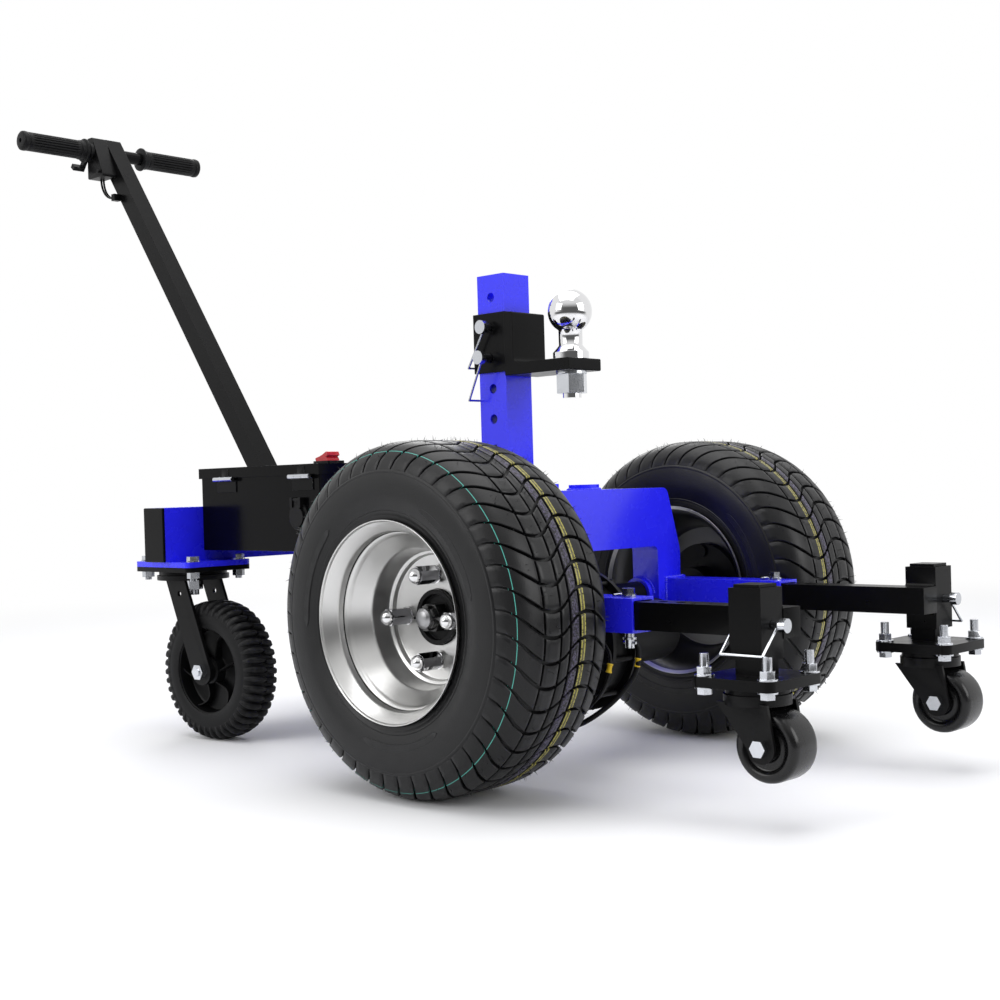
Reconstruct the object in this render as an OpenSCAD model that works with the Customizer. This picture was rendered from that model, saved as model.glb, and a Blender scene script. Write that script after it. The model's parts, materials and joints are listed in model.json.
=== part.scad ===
// Powered trailer dolly: two driven tyres, a height adjustable tow ball, two sliding front arms
// on casters, two rear casters, a battery box and a raked steering handle.
// The origin lies on the floor under the middle of the footprint, +X forward, +Y left, +Z up.
// Places along X are measured from the drive axle and moved into the footprint by on_dolly().

/* [Drive wheels] */
// Radius of the drive tyre, which is also the height of the axle
tyre_r = 209; // [203:1:214]
// Width of the drive tyre
tyre_w = 171; // [165:1:175]
// Distance between the middle planes of the two drive tyres
track = 537; // [532:1:550]
// Radius of the rim at its outer lip
rim_lip_r = 118; // [115:1:121]
// Radius of the rim where the bead of the tyre sits
rim_seat_r = 106; // [104:1:108]
// Radius of the narrow middle of the rim
rim_well_r = 88; // [86:1:90]
// Thickness of the rim sheet and of its disc
rim_wall = 3; // [2.5:0.5:3.5]
// Thickness of the tyre under its tread
tread_t = 14; // [12:1:16]
// Depth of the grooves round the tyre
groove_depth = 6; // [4:1:8]
// Diameter of the circle through the wheel studs
stud_pcd = 101.6; // [98:0.2:106]
// Number of wheel studs
stud_n = 4; // [3:1:5]
// Diameter of a wheel stud
stud_d = 12; // [10:1:13]
// Length of a wheel nut in front of the disc
lug_len = 44; // [36:1:48]
// Radius of the hub pilot in the disc
pilot_r = 33; // [30:1:36]
// Diameter of the axle shaft
shaft_d = 24; // [20:1:26]

/* [Transaxle] */
// Outer diameter of the axle tubes
axle_tube_d = 34; // [33:1:35]
// Radius of the gear case round the pinion
drum_r = 80; // [78:1:82]
// Radius of the gear case round the axle
ring_drum_r = 64; // [61:1:65]
// Wall of the gear case
case_wall = 4; // [3:0.5:5]
// How far the pinion lies in front of the axle
pinion_dx = 40; // [38:1:42]
// How far the pinion lies below the axle
pinion_dz = 44; // [42:1:46]
// Radius of the driven gear
gear_r = 48; // [44:0.5:48.5]
// Outer radius of the motor
motor_r = 41; // [38:0.5:41.5]
// Number of bolts round the gear case
case_bolt_n = 7; // [5:1:7]

/* [Frame] */
// Height of the top of the front bridge over the axle
bridge_rise = 144.5; // [141:0.5:151]
// Half width of the flat top of the bridge
bridge_top_hw = 137; // [130:1:142]
// Half width of the bridge at its legs
bridge_hw = 163; // [162:0.5:166]
// Height over the axle where the sloping sides of the bridge end
shoulder_rise = 60; // [53:1:66]
// Half width of the window in the bridge
window_hw = 113.5; // [112:0.5:115]
// Height of the top of the window over the axle
window_rise = 65.4; // [62:0.2:71]
// Place of the front face of the bridge
bridge_front = 31; // [29:0.5:33]
// Depth of the bridge from front to back
bridge_depth = 44; // [42:1:46]
// Sheet thickness of the bridge
bridge_wall = 5; // [4:0.5:6]
// Half width between the middles of the two frame rails
rail_y = 140; // [138:1:142]
// Width of a frame rail
rail_w = 30; // [26:1:32]
// Height of a frame rail
rail_h = 50; // [45:1:52]
// Wall of the frame tubes
tube_wall = 3; // [2.5:0.5:4]

/* [Tow ball post] */
// Side of the square post
post_w = 50; // [49:0.5:50.4]
// Place of the middle of the post
post_x = -137; // [-140:1:-135]
// Height of the top of the post
post_top = 650; // [648:1:700]
// Height of the lowest hole of the post
post_hole_z = 412; // [410:0.5:414]
// Spacing of the holes of the post
post_pitch = 41.4; // [41:0.1:41.8]
// Number of holes in the post
post_hole_n = 6; // [5:1:6]
// Diameter of the holes of the post
post_hole_d = 13; // [12.8:0.1:14]
// Outer side of the bracket sleeve
sleeve_w = 60; // [59:0.5:62]
// Height of the bracket sleeve
sleeve_h = 81; // [78:1:84]
// Thickness of the ball plate
ball_plate_t = 16; // [14:1:18]
// Width of the ball plate
ball_plate_w = 64; // [58:1:68]
// Distance from the front of the sleeve to the middle of the ball
ball_reach = 91; // [88:1:96]
// Diameter of the tow ball
ball_d = 58.7; // [50:0.1:60.3]
// Height of the ball centre over its plate
ball_rise = 63; // [60:1:66]
// Diameter of the shank of the ball
shank_d = 25; // [22:0.5:25.4]

/* [Front arms] */
// Half width between the middles of the two front arms
arm_y = 150; // [149:0.5:151]
// Outer side of the arm and leg tubes
arm_w = 32; // [31:0.5:32.4]
// Wall of the arm and leg tubes
arm_wall = 2.5; // [2:0.5:3]
// Inner side of the receivers and of the leg sleeves
socket_w = 33; // [32.8:0.1:33.5]
// Outer side of the receivers and of the leg sleeves
socket_out = 40; // [39:0.5:41]
// Height of the middle of the arms
arm_z = 210; // [209.5:0.5:211]
// Place of the front end of the receivers
receiver_end = 214; // [212:1:218]
// Place of the arm pins
arm_pin_x = 193; // [190:1:195]
// Place of the inner end of an arm at rest
arm_in = 107; // [106.5:0.5:108]
// Place of the outer end of an arm at rest
arm_out = 413; // [412.5:0.5:416]
// Spacing of the holes along an arm
arm_pitch = 25; // [22:1:26]
// Diameter of the arm pins
arm_pin_d = 11; // [10:0.5:11.5]
// Half width between the middles of the two legs
leg_y = 186; // [186:0.5:187.5]
// Place of the middle of the legs
leg_x = 392; // [391:0.5:392.5]
// Height of the bottom of a leg sleeve
sleeve_z = 174; // [172:1:178]
// Height of the top of a leg sleeve
sleeve_top = 249; // [246:1:254]
// Diameter of the leg pins
leg_pin_d = 10; // [8:0.5:11]
// Side of the square caster plates in front
front_plate_w = 100; // [98:1:104]
// Spacing of the bolts of the front caster plates
front_bolt_pitch = 78; // [76:1:80]
// Diameter of the bolts of the front caster plates
front_bolt_d = 10; // [8:1:10]
// Height of the joint between the leg plate and the caster plate in front
front_plate_z = 152; // [150:1:153]

/* [Front casters] */
// Radius of a front wheel
front_wheel_r = 38; // [36:0.5:38.5]
// Width of a front wheel
front_wheel_w = 45; // [42:1:46]
// Trail of a front wheel
front_trail = 21.6; // [20:0.2:24]
// Height of the axle of a front wheel
front_axle_z = 86.5; // [86:0.5:87.5]

/* [Rear casters] */
// Radius of a rear wheel, which stands on the floor
rear_wheel_r = 102.5; // [98:0.5:104]
// Width of a rear wheel
rear_wheel_w = 56; // [50:1:58]
// Trail of a rear wheel
rear_trail = 54; // [50:1:58]
// Half width between the two rear swivels
rear_y = 195; // [190:1:197]
// Length of the rear caster plates along the dolly
rear_plate_l = 140; // [136:1:144]
// Width of the rear caster plates
rear_plate_w = 112; // [110:1:120]
// Bolt spacing of the rear caster plates along the dolly
rear_bolt_l = 118; // [116:1:120]
// Bolt spacing of the rear caster plates across the dolly
rear_bolt_w = 80; // [76:1:84]
// Angle that the right rear caster stands at
rear_yaw_right = 5.6; // [0:0.2:8]

/* [Rear beam and battery box] */
// Place of the front face of the rear beam
beam_front = -587; // [-589:1:-586]
// Depth of the rear beam
beam_d = 50; // [46:1:54]
// Height of the bottom of the rear beam
beam_z = 264; // [262:1:266]
// Height of the rear beam
beam_h = 80; // [78:1:84]
// Half length of the rear beam
beam_hl = 258; // [255:1:262]
// Length of the battery box
box_l = 277; // [272:1:280]
// Half width of the battery box
box_hw = 192; // [190:1:194]
// Height of the bottom of the battery box
box_z = 279; // [278:0.5:281]
// Height of the top of the lid
lid_top = 400; // [399:1:408]
// Depth of the skirt of the lid
skirt_h = 15; // [13:1:16]
// Wall of the battery box and of its lid
box_wall = 3; // [2.5:0.5:3.5]
// Width of a battery along the dolly
battery_w = 98; // [90:1:99]
// Length of a battery across the dolly
battery_l = 151; // [140:1:160]
// Height of a battery without its terminals
battery_h = 95; // [88:1:96]
// Middle of the switch on the lid
switch_x = -340; // [-345:1:-335]
// Distance from the middle of the switch to the side of the box
switch_inset = 42; // [37:1:52]
// Side of the switch surround
switch_w = 36; // [35:0.5:40]
// Place of the charge port on the right side
port_x = -355; // [-360:1:-345]

/* [Handle] */
// Rake of the handle from upright
handle_rake = 35.9; // [35:0.1:37]
// Side of the square handle tube
handle_w = 32; // [31:0.5:33]
// Place of the crossbar along the dolly
bar_x = -1115; // [-1125:1:-1105]
// Height of the crossbar
bar_z = 987; // [975:1:1000]
// Diameter of the crossbar
bar_d = 22; // [20:0.5:24]
// Half length of the crossbar with its grips
bar_hl = 181; // [176:1:190]
// Length of a grip
grip_l = 125; // [118:1:126]
// Radius of a grip
grip_r = 16.5; // [15:0.5:18]
// Number of ribs round a grip
grip_rib_n = 12; // [8:1:14]

/* [Hidden] */
$fn = 48;

// Clearances: running fits, loose fits between bodies, and seats within one body
slip = 0.05;
loose = 0.3;
seat = 0.2;
left = 1;
right = -1;

// Drive wheel
axle_z = tyre_r;
tyre_hw = tyre_w / 2;
shaft_r = shaft_d / 2;
shaft_end = 29;
hub_flange_t = 10;
hub_back = 42;
hub_front = 6;
nut_seat = 1;
castle_nut_r = 18;
cotter_z = 18.5;
cotter_r = 2;
disc_rise = 6.5;

// Transaxle
axle_tube_r = axle_tube_d / 2;
axle_tube_end = track / 2 - hub_back - 1.5;
case_y0 = -104;
case_y1 = -56;
case_flange_t = 6;
case_flange_r = drum_r + 10;
case_bolt_r = 3;
case_bolt_ring = drum_r + case_bolt_r + 2;
bush_len = 12;
pinion_z = axle_z - pinion_dz;
gear_distance = norm([pinion_dx, pinion_dz]);
pinion_r = gear_distance - gear_r - 0.5;
motor_y1 = 100;
motor_bell = 6;
motor_wall = 4;
rotor_shaft_r = 6;
gear_y = (case_y0 + case_y1) / 2;
gear_t = 16;
diff_y = [case_y0 + case_flange_t + 3, case_y1 - case_flange_t - 3];

// Frame
bridge_top = axle_z + bridge_rise;
bridge_shoulder = axle_z + shoulder_rise;
window_top = axle_z + window_rise;
bridge_back = bridge_front - bridge_depth;
bridge_foot = arm_z - socket_out / 2;
saddle_t = 5;
saddle_w = 9;
boss_r = 20;
boss_bore = 12;
slot_reach = 32;
boss_h = 7;
rail_z = box_z + box_wall;
post_hw = post_w / 2;
post_back = post_x - post_hw;
post_front = post_x + post_hw;

// Ball bracket
sleeve_hw = sleeve_w / 2;
pin_zs = [for (i = [3, 4]) post_hole_z + i * post_pitch];
upper_pin_reach = 38;
lower_pin_reach = 44;
sleeve_mid = (pin_zs[0] + pin_zs[1]) / 2;
bracket_z = sleeve_mid - sleeve_h / 2;
bracket_top = sleeve_mid + sleeve_h / 2;
ball_plate_z = bracket_z - 6;
ball_plate_top = ball_plate_z + ball_plate_t;
sleeve_front = post_x + sleeve_hw;
ball_x = sleeve_front + ball_reach;
ball_plate_end = ball_x + 24;
ball_z = ball_plate_top + ball_rise;
shank_r = shank_d / 2;
ball_stud_end = 35;
washer_t = 4;
ball_nut_h = 25;

// Lock pins
post_pin_r = post_hole_d / 2 - loose;
post_pin_head_r = 9.3;
wire_r = 1.6;
bail_len = 62.4;
arm_pin_r = arm_pin_d / 2;
leg_pin_r = leg_pin_d / 2;
leg_pin_z = arm_z;
leg_bail_len = 42;

// Front legs and casters
leg_plate_t = 6;
caster_plate_t = 5;
front_plate_top = front_plate_z + leg_plate_t;
front_plate_bottom = front_plate_z - caster_plate_t;
front_race_r = 34;
front_crown_r = 36;
front_crown_z = front_plate_bottom - 19;
front_fork_gap = front_wheel_w / 2 + 2.5;
front_fork_t = 4;
front_kingpin_r = 8;

// Rear casters
rear_x = beam_front - beam_d / 2;
rear_pad_t = 8;
rear_plate_t = 7;
rear_plate_top = beam_z - rear_pad_t;
rear_plate_bottom = rear_plate_top - rear_plate_t;
rear_race_r = 50;
rear_crown_r = 53;
rear_crown_z = rear_plate_bottom - 13;
rear_crown_t = 7;
rear_fork_gap = rear_wheel_w / 2 + 3;
rear_fork_t = 5;
rear_axle_r = 6;
rear_kingpin_r = 8;

// Rear beam and battery box
beam_back = beam_front - beam_d;
box_x0 = beam_front;
box_x1 = beam_front + box_l;
lid_in = box_hw + 0.5;
lid_out = lid_in + 2.5;
lid_under = lid_top - box_wall;
skirt_z = lid_top - skirt_h;
hinge_r = 3.5;
hinge_pin_r = 1.5;
hinge_y = -(lid_out + hinge_r + 0.5);
hinge_z = skirt_z - 2;
hinge_w = 45;
hinge_xs = [box_x0 + 42, box_x1 - 58];
rocker_tilt = 20;
rocker_z = lid_top + 2;
switch_y = switch_inset - box_hw;
surround_h = 4;
switch_window = switch_w - 5;
port_z = 328;
port_r = 20;
cap_hinge_z = port_z + port_r + 3;
cap_y = -(box_hw + 3 + loose);
cap_pin_r = 1.2;

// Handle: along() runs up the tube from the crossbar and across() towards the front of the dolly
handle_hw = handle_w / 2;
handle_top = 20;
socket_plate_t = 6;
socket_face = beam_back - socket_plate_t;
cheek_t = 5;
socket_bolt_s = [-752, -782];
cheek_end = -738;
tube_foot = -860;
socket_hw = 40;
bar_r = bar_d / 2;
grip_flange_r = 21;
throttle_x = [bar_x - 13, bar_x + 39];
throttle_y = [-44, -handle_hw];
throttle_z = [bar_z - 49, bar_z + 25];
cable_r = 1.8;
cable_bend = 38;
cable_ys = [-20, -25];

// Footprint: the drive axle is placed so that the footprint is centred on the origin
foot_front = leg_x + front_trail + front_wheel_r;
foot_back = bar_x - handle_top * sin(handle_rake) - handle_hw * cos(handle_rake);
axle_x = -(foot_front + foot_back) / 2;

function along(s) = [bar_x - s * sin(handle_rake), bar_z + s * cos(handle_rake)];
function across(s, t) = along(s) + t * [cos(handle_rake), sin(handle_rake)];
function unit(v) = v / norm(v);

// Points of a corner at b, rounded with radius r between the edges towards a and c
function corner(a, b, c, r, n = 6) =
    let (
        u = unit(a - b),
        v = unit(c - b),
        half = acos(u * v) / 2,
        o = b + unit(u + v) * r / sin(half),
        p = b + u * r / tan(half) - o,
        q = b + v * r / tan(half) - o,
        turn = (atan2(q.y, q.x) - atan2(p.y, p.x) + 540) % 360 - 180
    )
    [for (i = [0 : n]) o + r * [cos(atan2(p.y, p.x) + turn * i / n), sin(atan2(p.y, p.x) + turn * i / n)]];

// Outline through pts whose corners are rounded with the radii in rs
function rounded(pts, rs) =
    let (k = len(pts))
    [for (i = [0 : k - 1]) each rs[i] > 0 ? corner(pts[(i + k - 1) % k], pts[i], pts[(i + 1) % k], rs[i]) : [pts[i]]];

function mirrored(pts) = [for (p = pts) [p.x, -p.y]];
function flipped(pts) = [for (i = [len(pts) - 1 : -1 : 0]) [pts[i].x, -pts[i].y]];

// Basic shapes, each between two coordinates along its own axis
module on_dolly() translate([axle_x, 0, 0]) children();
module block(x, y, z) translate([x[0], y[0], z[0]]) cube([x[1] - x[0], y[1] - y[0], z[1] - z[0]]);
module rod_x(x, y, z, r) translate([x[0], y, z]) rotate([0, 90, 0]) cylinder(h = x[1] - x[0], r = r);
module rod_y(x, y, z, r) translate([x, y[1], z]) rotate([90, 0, 0]) cylinder(h = y[1] - y[0], r = r);
module rod_z(x, y, z, r) translate([x, y, z[0]]) cylinder(h = z[1] - z[0], r = r);
module hex_x(x, y, z, r) translate([x[0], y, z]) rotate([0, 90, 0]) cylinder(h = x[1] - x[0], r = r, $fn = 6);
module hex_y(x, y, z, r) translate([x, y[1], z]) rotate([90, 0, 0]) cylinder(h = y[1] - y[0], r = r, $fn = 6);
module hex_z(x, y, z, r) translate([x, y, z[0]]) cylinder(h = z[1] - z[0], r = r, $fn = 6);
module plate_yz(x, pts) translate([x[0], 0, 0]) rotate([90, 0, 90]) linear_extrude(x[1] - x[0]) polygon(pts);
module plate_xz(y, pts) translate([0, y[1], 0]) rotate([90, 0, 0]) linear_extrude(y[1] - y[0]) polygon(pts);
module plate_xy(z, pts) translate([0, 0, z[0]]) linear_extrude(z[1] - z[0]) polygon(pts);
module square_z(x, y, z, w) block([x - w / 2, x + w / 2], [y - w / 2, y + w / 2], z);
module square_x(x, y, z, w) block(x, [y - w / 2, y + w / 2], [z - w / 2, z + w / 2]);

// Outline of a rectangle with its corners rounded
function rect(x, y, w, l, r) =
    rounded([[x - w / 2, y - l / 2], [x + w / 2, y - l / 2], [x + w / 2, y + l / 2], [x - w / 2, y + l / 2]], [r, r, r, r]);

// Front bridge: a sheet arch over the transaxle, open towards the back
module front_bridge() color([0.1, 0.1, 0.85]) on_dolly() {
    outline = rounded([
        [-bridge_hw, bridge_foot], [-bridge_hw, bridge_shoulder], [-bridge_top_hw, bridge_top],
        [bridge_top_hw, bridge_top], [bridge_hw, bridge_shoulder], [bridge_hw, bridge_foot],
        [window_hw, bridge_foot], [window_hw, window_top], [-window_hw, window_top], [-window_hw, bridge_foot]
    ], [0, 30, 12, 12, 30, 0, 0, 8, 8, 0]);
    leg_in = window_hw + bridge_wall;
    leg_out = bridge_hw - bridge_wall;
    top_in = bridge_top_hw - bridge_wall;
    below = bridge_foot - 1;
    hollow = [
        [-leg_out, below], [-leg_out, bridge_shoulder], [-top_in, bridge_top - bridge_wall],
        [top_in, bridge_top - bridge_wall], [leg_out, bridge_shoulder], [leg_out, below],
        [leg_in, below], [leg_in, window_top + bridge_wall], [-leg_in, window_top + bridge_wall], [-leg_in, below]
    ];
    difference() {
        union() {
            plate_yz([bridge_back, bridge_front], outline);
            for (s = [left, right]) {
                y = s * (window_hw - saddle_w / 2);
                rod_y(0, [y - saddle_w / 2, y + saddle_w / 2], axle_z, axle_tube_r + saddle_t);
            }
            plate_xy([bridge_top - bridge_wall, bridge_top],
                [[0, -top_in], [0, top_in], [post_front, post_hw + 35], [post_front, -post_hw - 35]]);
            rod_z(0, 0, [bridge_top, bridge_top + boss_h], boss_r);
            rod_z(-20, -36, [bridge_top, bridge_top + boss_h + 2], 6);
        }
        plate_yz([bridge_back - 1, bridge_front - bridge_wall], hollow);
        rod_y(0, [-bridge_hw - 1, bridge_hw + 1], axle_z, axle_tube_r + seat);
        block([-slot_reach, axle_tube_r + seat], [-bridge_hw - 1, bridge_hw + 1], [axle_z - slot_reach, axle_z]);
        rod_z(0, 0, [bridge_top - bridge_wall - 1, bridge_top + boss_h + 1], boss_bore);
    }
}

// Two rails through the battery box, with the cross member that carries the post
module frame_rails() color([0.1, 0.1, 0.85]) on_dolly() difference() {
    union() {
        for (s = [left, right])
            block([beam_front, bridge_back], [s * rail_y - rail_w / 2, s * rail_y + rail_w / 2],
                [rail_z, rail_z + rail_h]);
        block([post_back, post_front], [-rail_y, rail_y], [rail_z, rail_z + rail_h]);
    }
    for (s = [left, right])
        block([beam_front - 1, bridge_front],
            [s * rail_y - rail_w / 2 + tube_wall, s * rail_y + rail_w / 2 - tube_wall],
            [rail_z + tube_wall, rail_z + rail_h - tube_wall]);
    block([post_back + tube_wall, post_front - tube_wall], [-rail_y, rail_y],
        [rail_z + tube_wall, rail_z + rail_h - tube_wall]);
}

module rear_beam() color([0.1, 0.1, 0.85]) on_dolly() difference() {
    union() {
        block([beam_back, beam_front], [-beam_hl, beam_hl], [beam_z, beam_z + beam_h]);
        for (s = [left, right])
            plate_xy([rear_plate_top, beam_z], rect(rear_x, s * rear_y, rear_plate_l, rear_plate_w, 8));
    }
    block([beam_back + tube_wall, beam_front - tube_wall], [-beam_hl - 1, beam_hl + 1],
        [beam_z + tube_wall, beam_z + beam_h - tube_wall]);
    rear_bolt_places() rod_z(0, 0, [rear_plate_top - 1, beam_z + 1], front_bolt_d / 2 + loose);
}

module beam_caps() color([0.05, 0.05, 0.05]) on_dolly() for (s = [left, right]) {
    inner = tube_wall + seat;
    y = s * beam_hl;
    block([beam_back, beam_front], [min(y, y + s * 4), max(y, y + s * 4)], [beam_z, beam_z + beam_h]);
    block([beam_back + inner, beam_front - inner], [min(y, y - s * 12), max(y, y - s * 12)],
        [beam_z + inner, beam_z + beam_h - inner]);
}

module hitch_post() color([0.1, 0.1, 0.85]) on_dolly() difference() {
    square_z(post_x, 0, [rail_z + rail_h, post_top], post_w);
    square_z(post_x, 0, [rail_z + rail_h - 1, post_top + 1], post_w - 2 * tube_wall);
    for (i = [0 : post_hole_n - 1])
        rod_y(post_x, [-post_w, post_w], post_hole_z + i * post_pitch, post_hole_d / 2);
}

module arm_receivers() color([0.1, 0.1, 0.85]) on_dolly() for (s = [left, right]) difference() {
    square_x([bridge_front, receiver_end], s * arm_y, arm_z, socket_out);
    square_x([bridge_front - 1, receiver_end + 1], s * arm_y, arm_z, socket_w);
    rod_z(arm_pin_x, s * arm_y, [arm_z - socket_out, arm_z + socket_out], arm_pin_r + loose);
}

// Ball bracket: a sleeve on the post with an angled plate for the ball
module ball_bracket() color([0.04, 0.04, 0.04]) on_dolly() difference() {
    union() {
        square_z(post_x, 0, [bracket_z, bracket_top], sleeve_w);
        plate_xz([-ball_plate_w / 2, ball_plate_w / 2], rounded([
            [sleeve_front, ball_plate_z], [ball_plate_end, ball_plate_z], [ball_plate_end, ball_plate_top],
            [sleeve_front + ball_plate_t, ball_plate_top], [sleeve_front + ball_plate_t, bracket_top - 2],
            [sleeve_front, bracket_top - 2]
        ], [0, 2, 2, 9, 3, 0]));
    }
    square_z(post_x, 0, [bracket_z - 1, bracket_top + 1], post_w + 2 * loose);
    for (z = pin_zs)
        rod_y(post_x, [-sleeve_w, sleeve_w], z, post_hole_d / 2);
    rod_z(ball_x, 0, [ball_plate_z - 1, ball_plate_top + 1], shank_r + seat);
}

module hitch_ball() color([0.85, 0.85, 0.87]) on_dolly() translate([ball_x, 0, 0]) {
    neck_r = ball_d * 0.27;
    translate([0, 0, ball_z]) sphere(r = ball_d / 2);
    rod_z(0, 0, [ball_plate_top, ball_z], neck_r);
    rod_z(0, 0, [ball_plate_top, ball_plate_top + 9], neck_r + 8);
    translate([0, 0, ball_plate_top + 9]) cylinder(h = 9, r1 = neck_r + 8, r2 = neck_r);
    rod_z(0, 0, [ball_plate_z - ball_stud_end, ball_plate_top], shank_r);
}

module ball_nut() color([0.75, 0.78, 0.85]) on_dolly() difference() {
    washer_z = ball_plate_z - washer_t;
    union() {
        rod_z(ball_x, 0, [washer_z, ball_plate_z], shank_r + 8);
        hex_z(ball_x, 0, [washer_z - ball_nut_h, washer_z], shank_r + 8.5);
    }
    rod_z(ball_x, 0, [washer_z - ball_nut_h - 1, ball_plate_z + 1], shank_r + seat);
}

// Wire run between two points of a plane, in the XY plane of the caller
module wire(a, b, r) translate([a.x, a.y, 0]) rotate([0, 0, atan2(b.y - a.y, b.x - a.x)])
    rotate([0, 90, 0]) cylinder(h = norm(b - a), r = r);

// Lock pin along local Z from 0 to len, with a wire bail that hangs along local -Y turned by lean
module lock_pin(len, r, head_r, bail, lean, bail_in, bail_out) {
    cylinder(h = len, r = r);
    translate([0, 0, -8]) cylinder(h = 8, r = head_r);
    rotate([0, 0, lean]) {
        for (z = [bail_in, bail_out])
            translate([0, 0, z]) {
                wire([0, 0], [0, -bail], wire_r);
                translate([0, -bail, 0]) sphere(r = wire_r);
            }
        translate([0, -bail, bail_in]) cylinder(h = bail_out - bail_in, r = wire_r);
    }
}

module post_pin(z, reach, lean) color([0.8, 0.82, 0.84]) on_dolly()
    translate([post_x, -reach - 2, z]) rotate([-90, 0, 0])
        rotate([0, 0, 180]) lock_pin(2 * reach + 4, post_pin_r, post_pin_head_r, bail_len, lean, 2, 2 * reach + 2);

module upper_post_pin() post_pin(pin_zs[1], upper_pin_reach, 32);
module lower_post_pin() post_pin(pin_zs[0], lower_pin_reach, 26);

// Pins that lock the arms in their receivers, each with its clip underneath
module arm_pins() color([0.8, 0.82, 0.84]) on_dolly() for (s = [left, right]) translate([arm_pin_x, s * arm_y, 0]) {
    top = arm_z + socket_out / 2;
    foot = arm_z - socket_out / 2;
    rod_z(0, 0, [foot - 19, top + 1], arm_pin_r);
    rod_z(0, 0, [top + 0.5, top + 3], 9);
    hex_z(0, 0, [top + 3, top + 10], 8);
    rod_x([-16, 0], 0, top + 2, wire_r);
    rod_y(-16, [-8, 8], top + 2, wire_r);
    rod_z(0, 0, [foot - 9, foot - 6.5], 8);
    rod_x([-9, 9], 0, foot - 13, wire_r);
}

// Gear case with both axle tubes, hollow for the gears and bored for the shafts
module gear_case() color([0.05, 0.05, 0.05]) on_dolly() difference() {
    inside = [case_y0 + case_flange_t, case_y1 - case_flange_t];
    union() {
        rod_y(pinion_dx, [case_y0, case_y1], pinion_z, drum_r);
        rod_y(0, [case_y0, case_y1], axle_z, ring_drum_r);
        for (y = [case_y0, case_y1 - case_flange_t])
            rod_y(pinion_dx, [y, y + case_flange_t], pinion_z, case_flange_r);
        rod_y(0, [-axle_tube_end, axle_tube_end], axle_z, axle_tube_r);
    }
    rod_y(pinion_dx, inside, pinion_z, drum_r - case_wall);
    rod_y(0, inside, axle_z, ring_drum_r - case_wall);
    rod_y(0, [-axle_tube_end - 1, axle_tube_end + 1], axle_z, shaft_r + slip);
    rod_y(0, [-axle_tube_end + bush_len, case_y0 - 2], axle_z, shaft_r + 2);
    rod_y(0, [case_y1 + 2, axle_tube_end - bush_len], axle_z, shaft_r + 2);
    rod_y(pinion_dx, [case_y1 - case_flange_t - 1, case_y1 + 1], pinion_z, rotor_shaft_r + slip);
    case_bolt_places() rod_y(0, [case_y0 - 1, case_y1 + 1], 0, case_bolt_r + seat);
}

module case_bolt_places() {
    towards_axle = atan2(pinion_dz, -pinion_dx);
    for (i = [0 : case_bolt_n - 1])
        translate([pinion_dx, 0, pinion_z]) rotate([0, -(towards_axle + 75 + 35 * i), 0]) translate([case_bolt_ring, 0, 0])
            children();
}

module case_bolts() color([0.8, 0.7, 0.35]) on_dolly() case_bolt_places() {
    rod_y(0, [case_y0, case_y1], 0, case_bolt_r);
    hex_y(0, [case_y0 - 4, case_y0], 0, 2 * case_bolt_r);
    hex_y(0, [case_y1, case_y1 + 4], 0, 2 * case_bolt_r);
}

module motor_case() color([0.05, 0.05, 0.05]) on_dolly() difference() {
    union() {
        rod_y(pinion_dx, [case_y1, motor_y1 - motor_bell], pinion_z, motor_r);
        rod_y(pinion_dx, [motor_y1 - motor_bell, motor_y1], pinion_z, motor_r - 5);
    }
    rod_y(pinion_dx, [case_y1 + motor_wall, motor_y1 - motor_bell - motor_wall], pinion_z, motor_r - motor_wall);
    rod_y(pinion_dx, [case_y1 - 1, motor_y1 - 2], pinion_z, rotor_shaft_r + slip);
}

module armature() color([0.7, 0.45, 0.25]) on_dolly() {
    rod_y(pinion_dx, [case_y1 + motor_wall + 4, motor_y1 - motor_bell - motor_wall - 4], pinion_z,
        motor_r - motor_wall - 4);
    rod_y(pinion_dx, [gear_y - gear_t / 2 - 2, motor_y1 - 3], pinion_z, rotor_shaft_r);
    rod_y(pinion_dx, [gear_y - gear_t / 2, gear_y + gear_t / 2], pinion_z, pinion_r);
}

module ring_gear() color([0.5, 0.5, 0.52]) on_dolly() difference() {
    union() {
        rod_y(0, [gear_y - gear_t / 2, gear_y + gear_t / 2], axle_z, gear_r);
        rod_y(0, diff_y, axle_z, shaft_r + 8);
    }
    rod_y(0, [diff_y[0] - 1, diff_y[1] + 1], axle_z, shaft_r + slip);
}

// Battery box, open on top, with openings for the rails in both end walls
module battery_box() color([0.03, 0.03, 0.03]) on_dolly() difference() {
    block([box_x0, box_x1], [-box_hw, box_hw], [box_z, lid_under - 0.5]);
    block([box_x0 + box_wall, box_x1 - box_wall], [-box_hw + box_wall, box_hw - box_wall], [box_z + box_wall, lid_top]);
    for (s = [left, right])
        block([box_x0 - 1, box_x1 + 1], [s * rail_y - rail_w / 2 - seat, s * rail_y + rail_w / 2 + seat],
            [rail_z, rail_z + rail_h + seat]);
    rod_y(port_x, [-box_hw - 1, -box_hw + box_wall + 1], port_z, port_r - 6);
}

// Two batteries on the floor of the box, between the rails
module batteries() color([0.25, 0.27, 0.3]) on_dolly() for (i = [0, 1]) {
    x0 = box_x0 + box_wall + 4 + i * (battery_w + 4);
    block([x0, x0 + battery_w], [-battery_l / 2, battery_l / 2], [rail_z, rail_z + battery_h]);
    for (s = [left, right])
        rod_z(x0 + battery_w / 2, s * (battery_l / 2 - 15), [rail_z + battery_h - 1, rail_z + battery_h + 6], 6);
}

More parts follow.
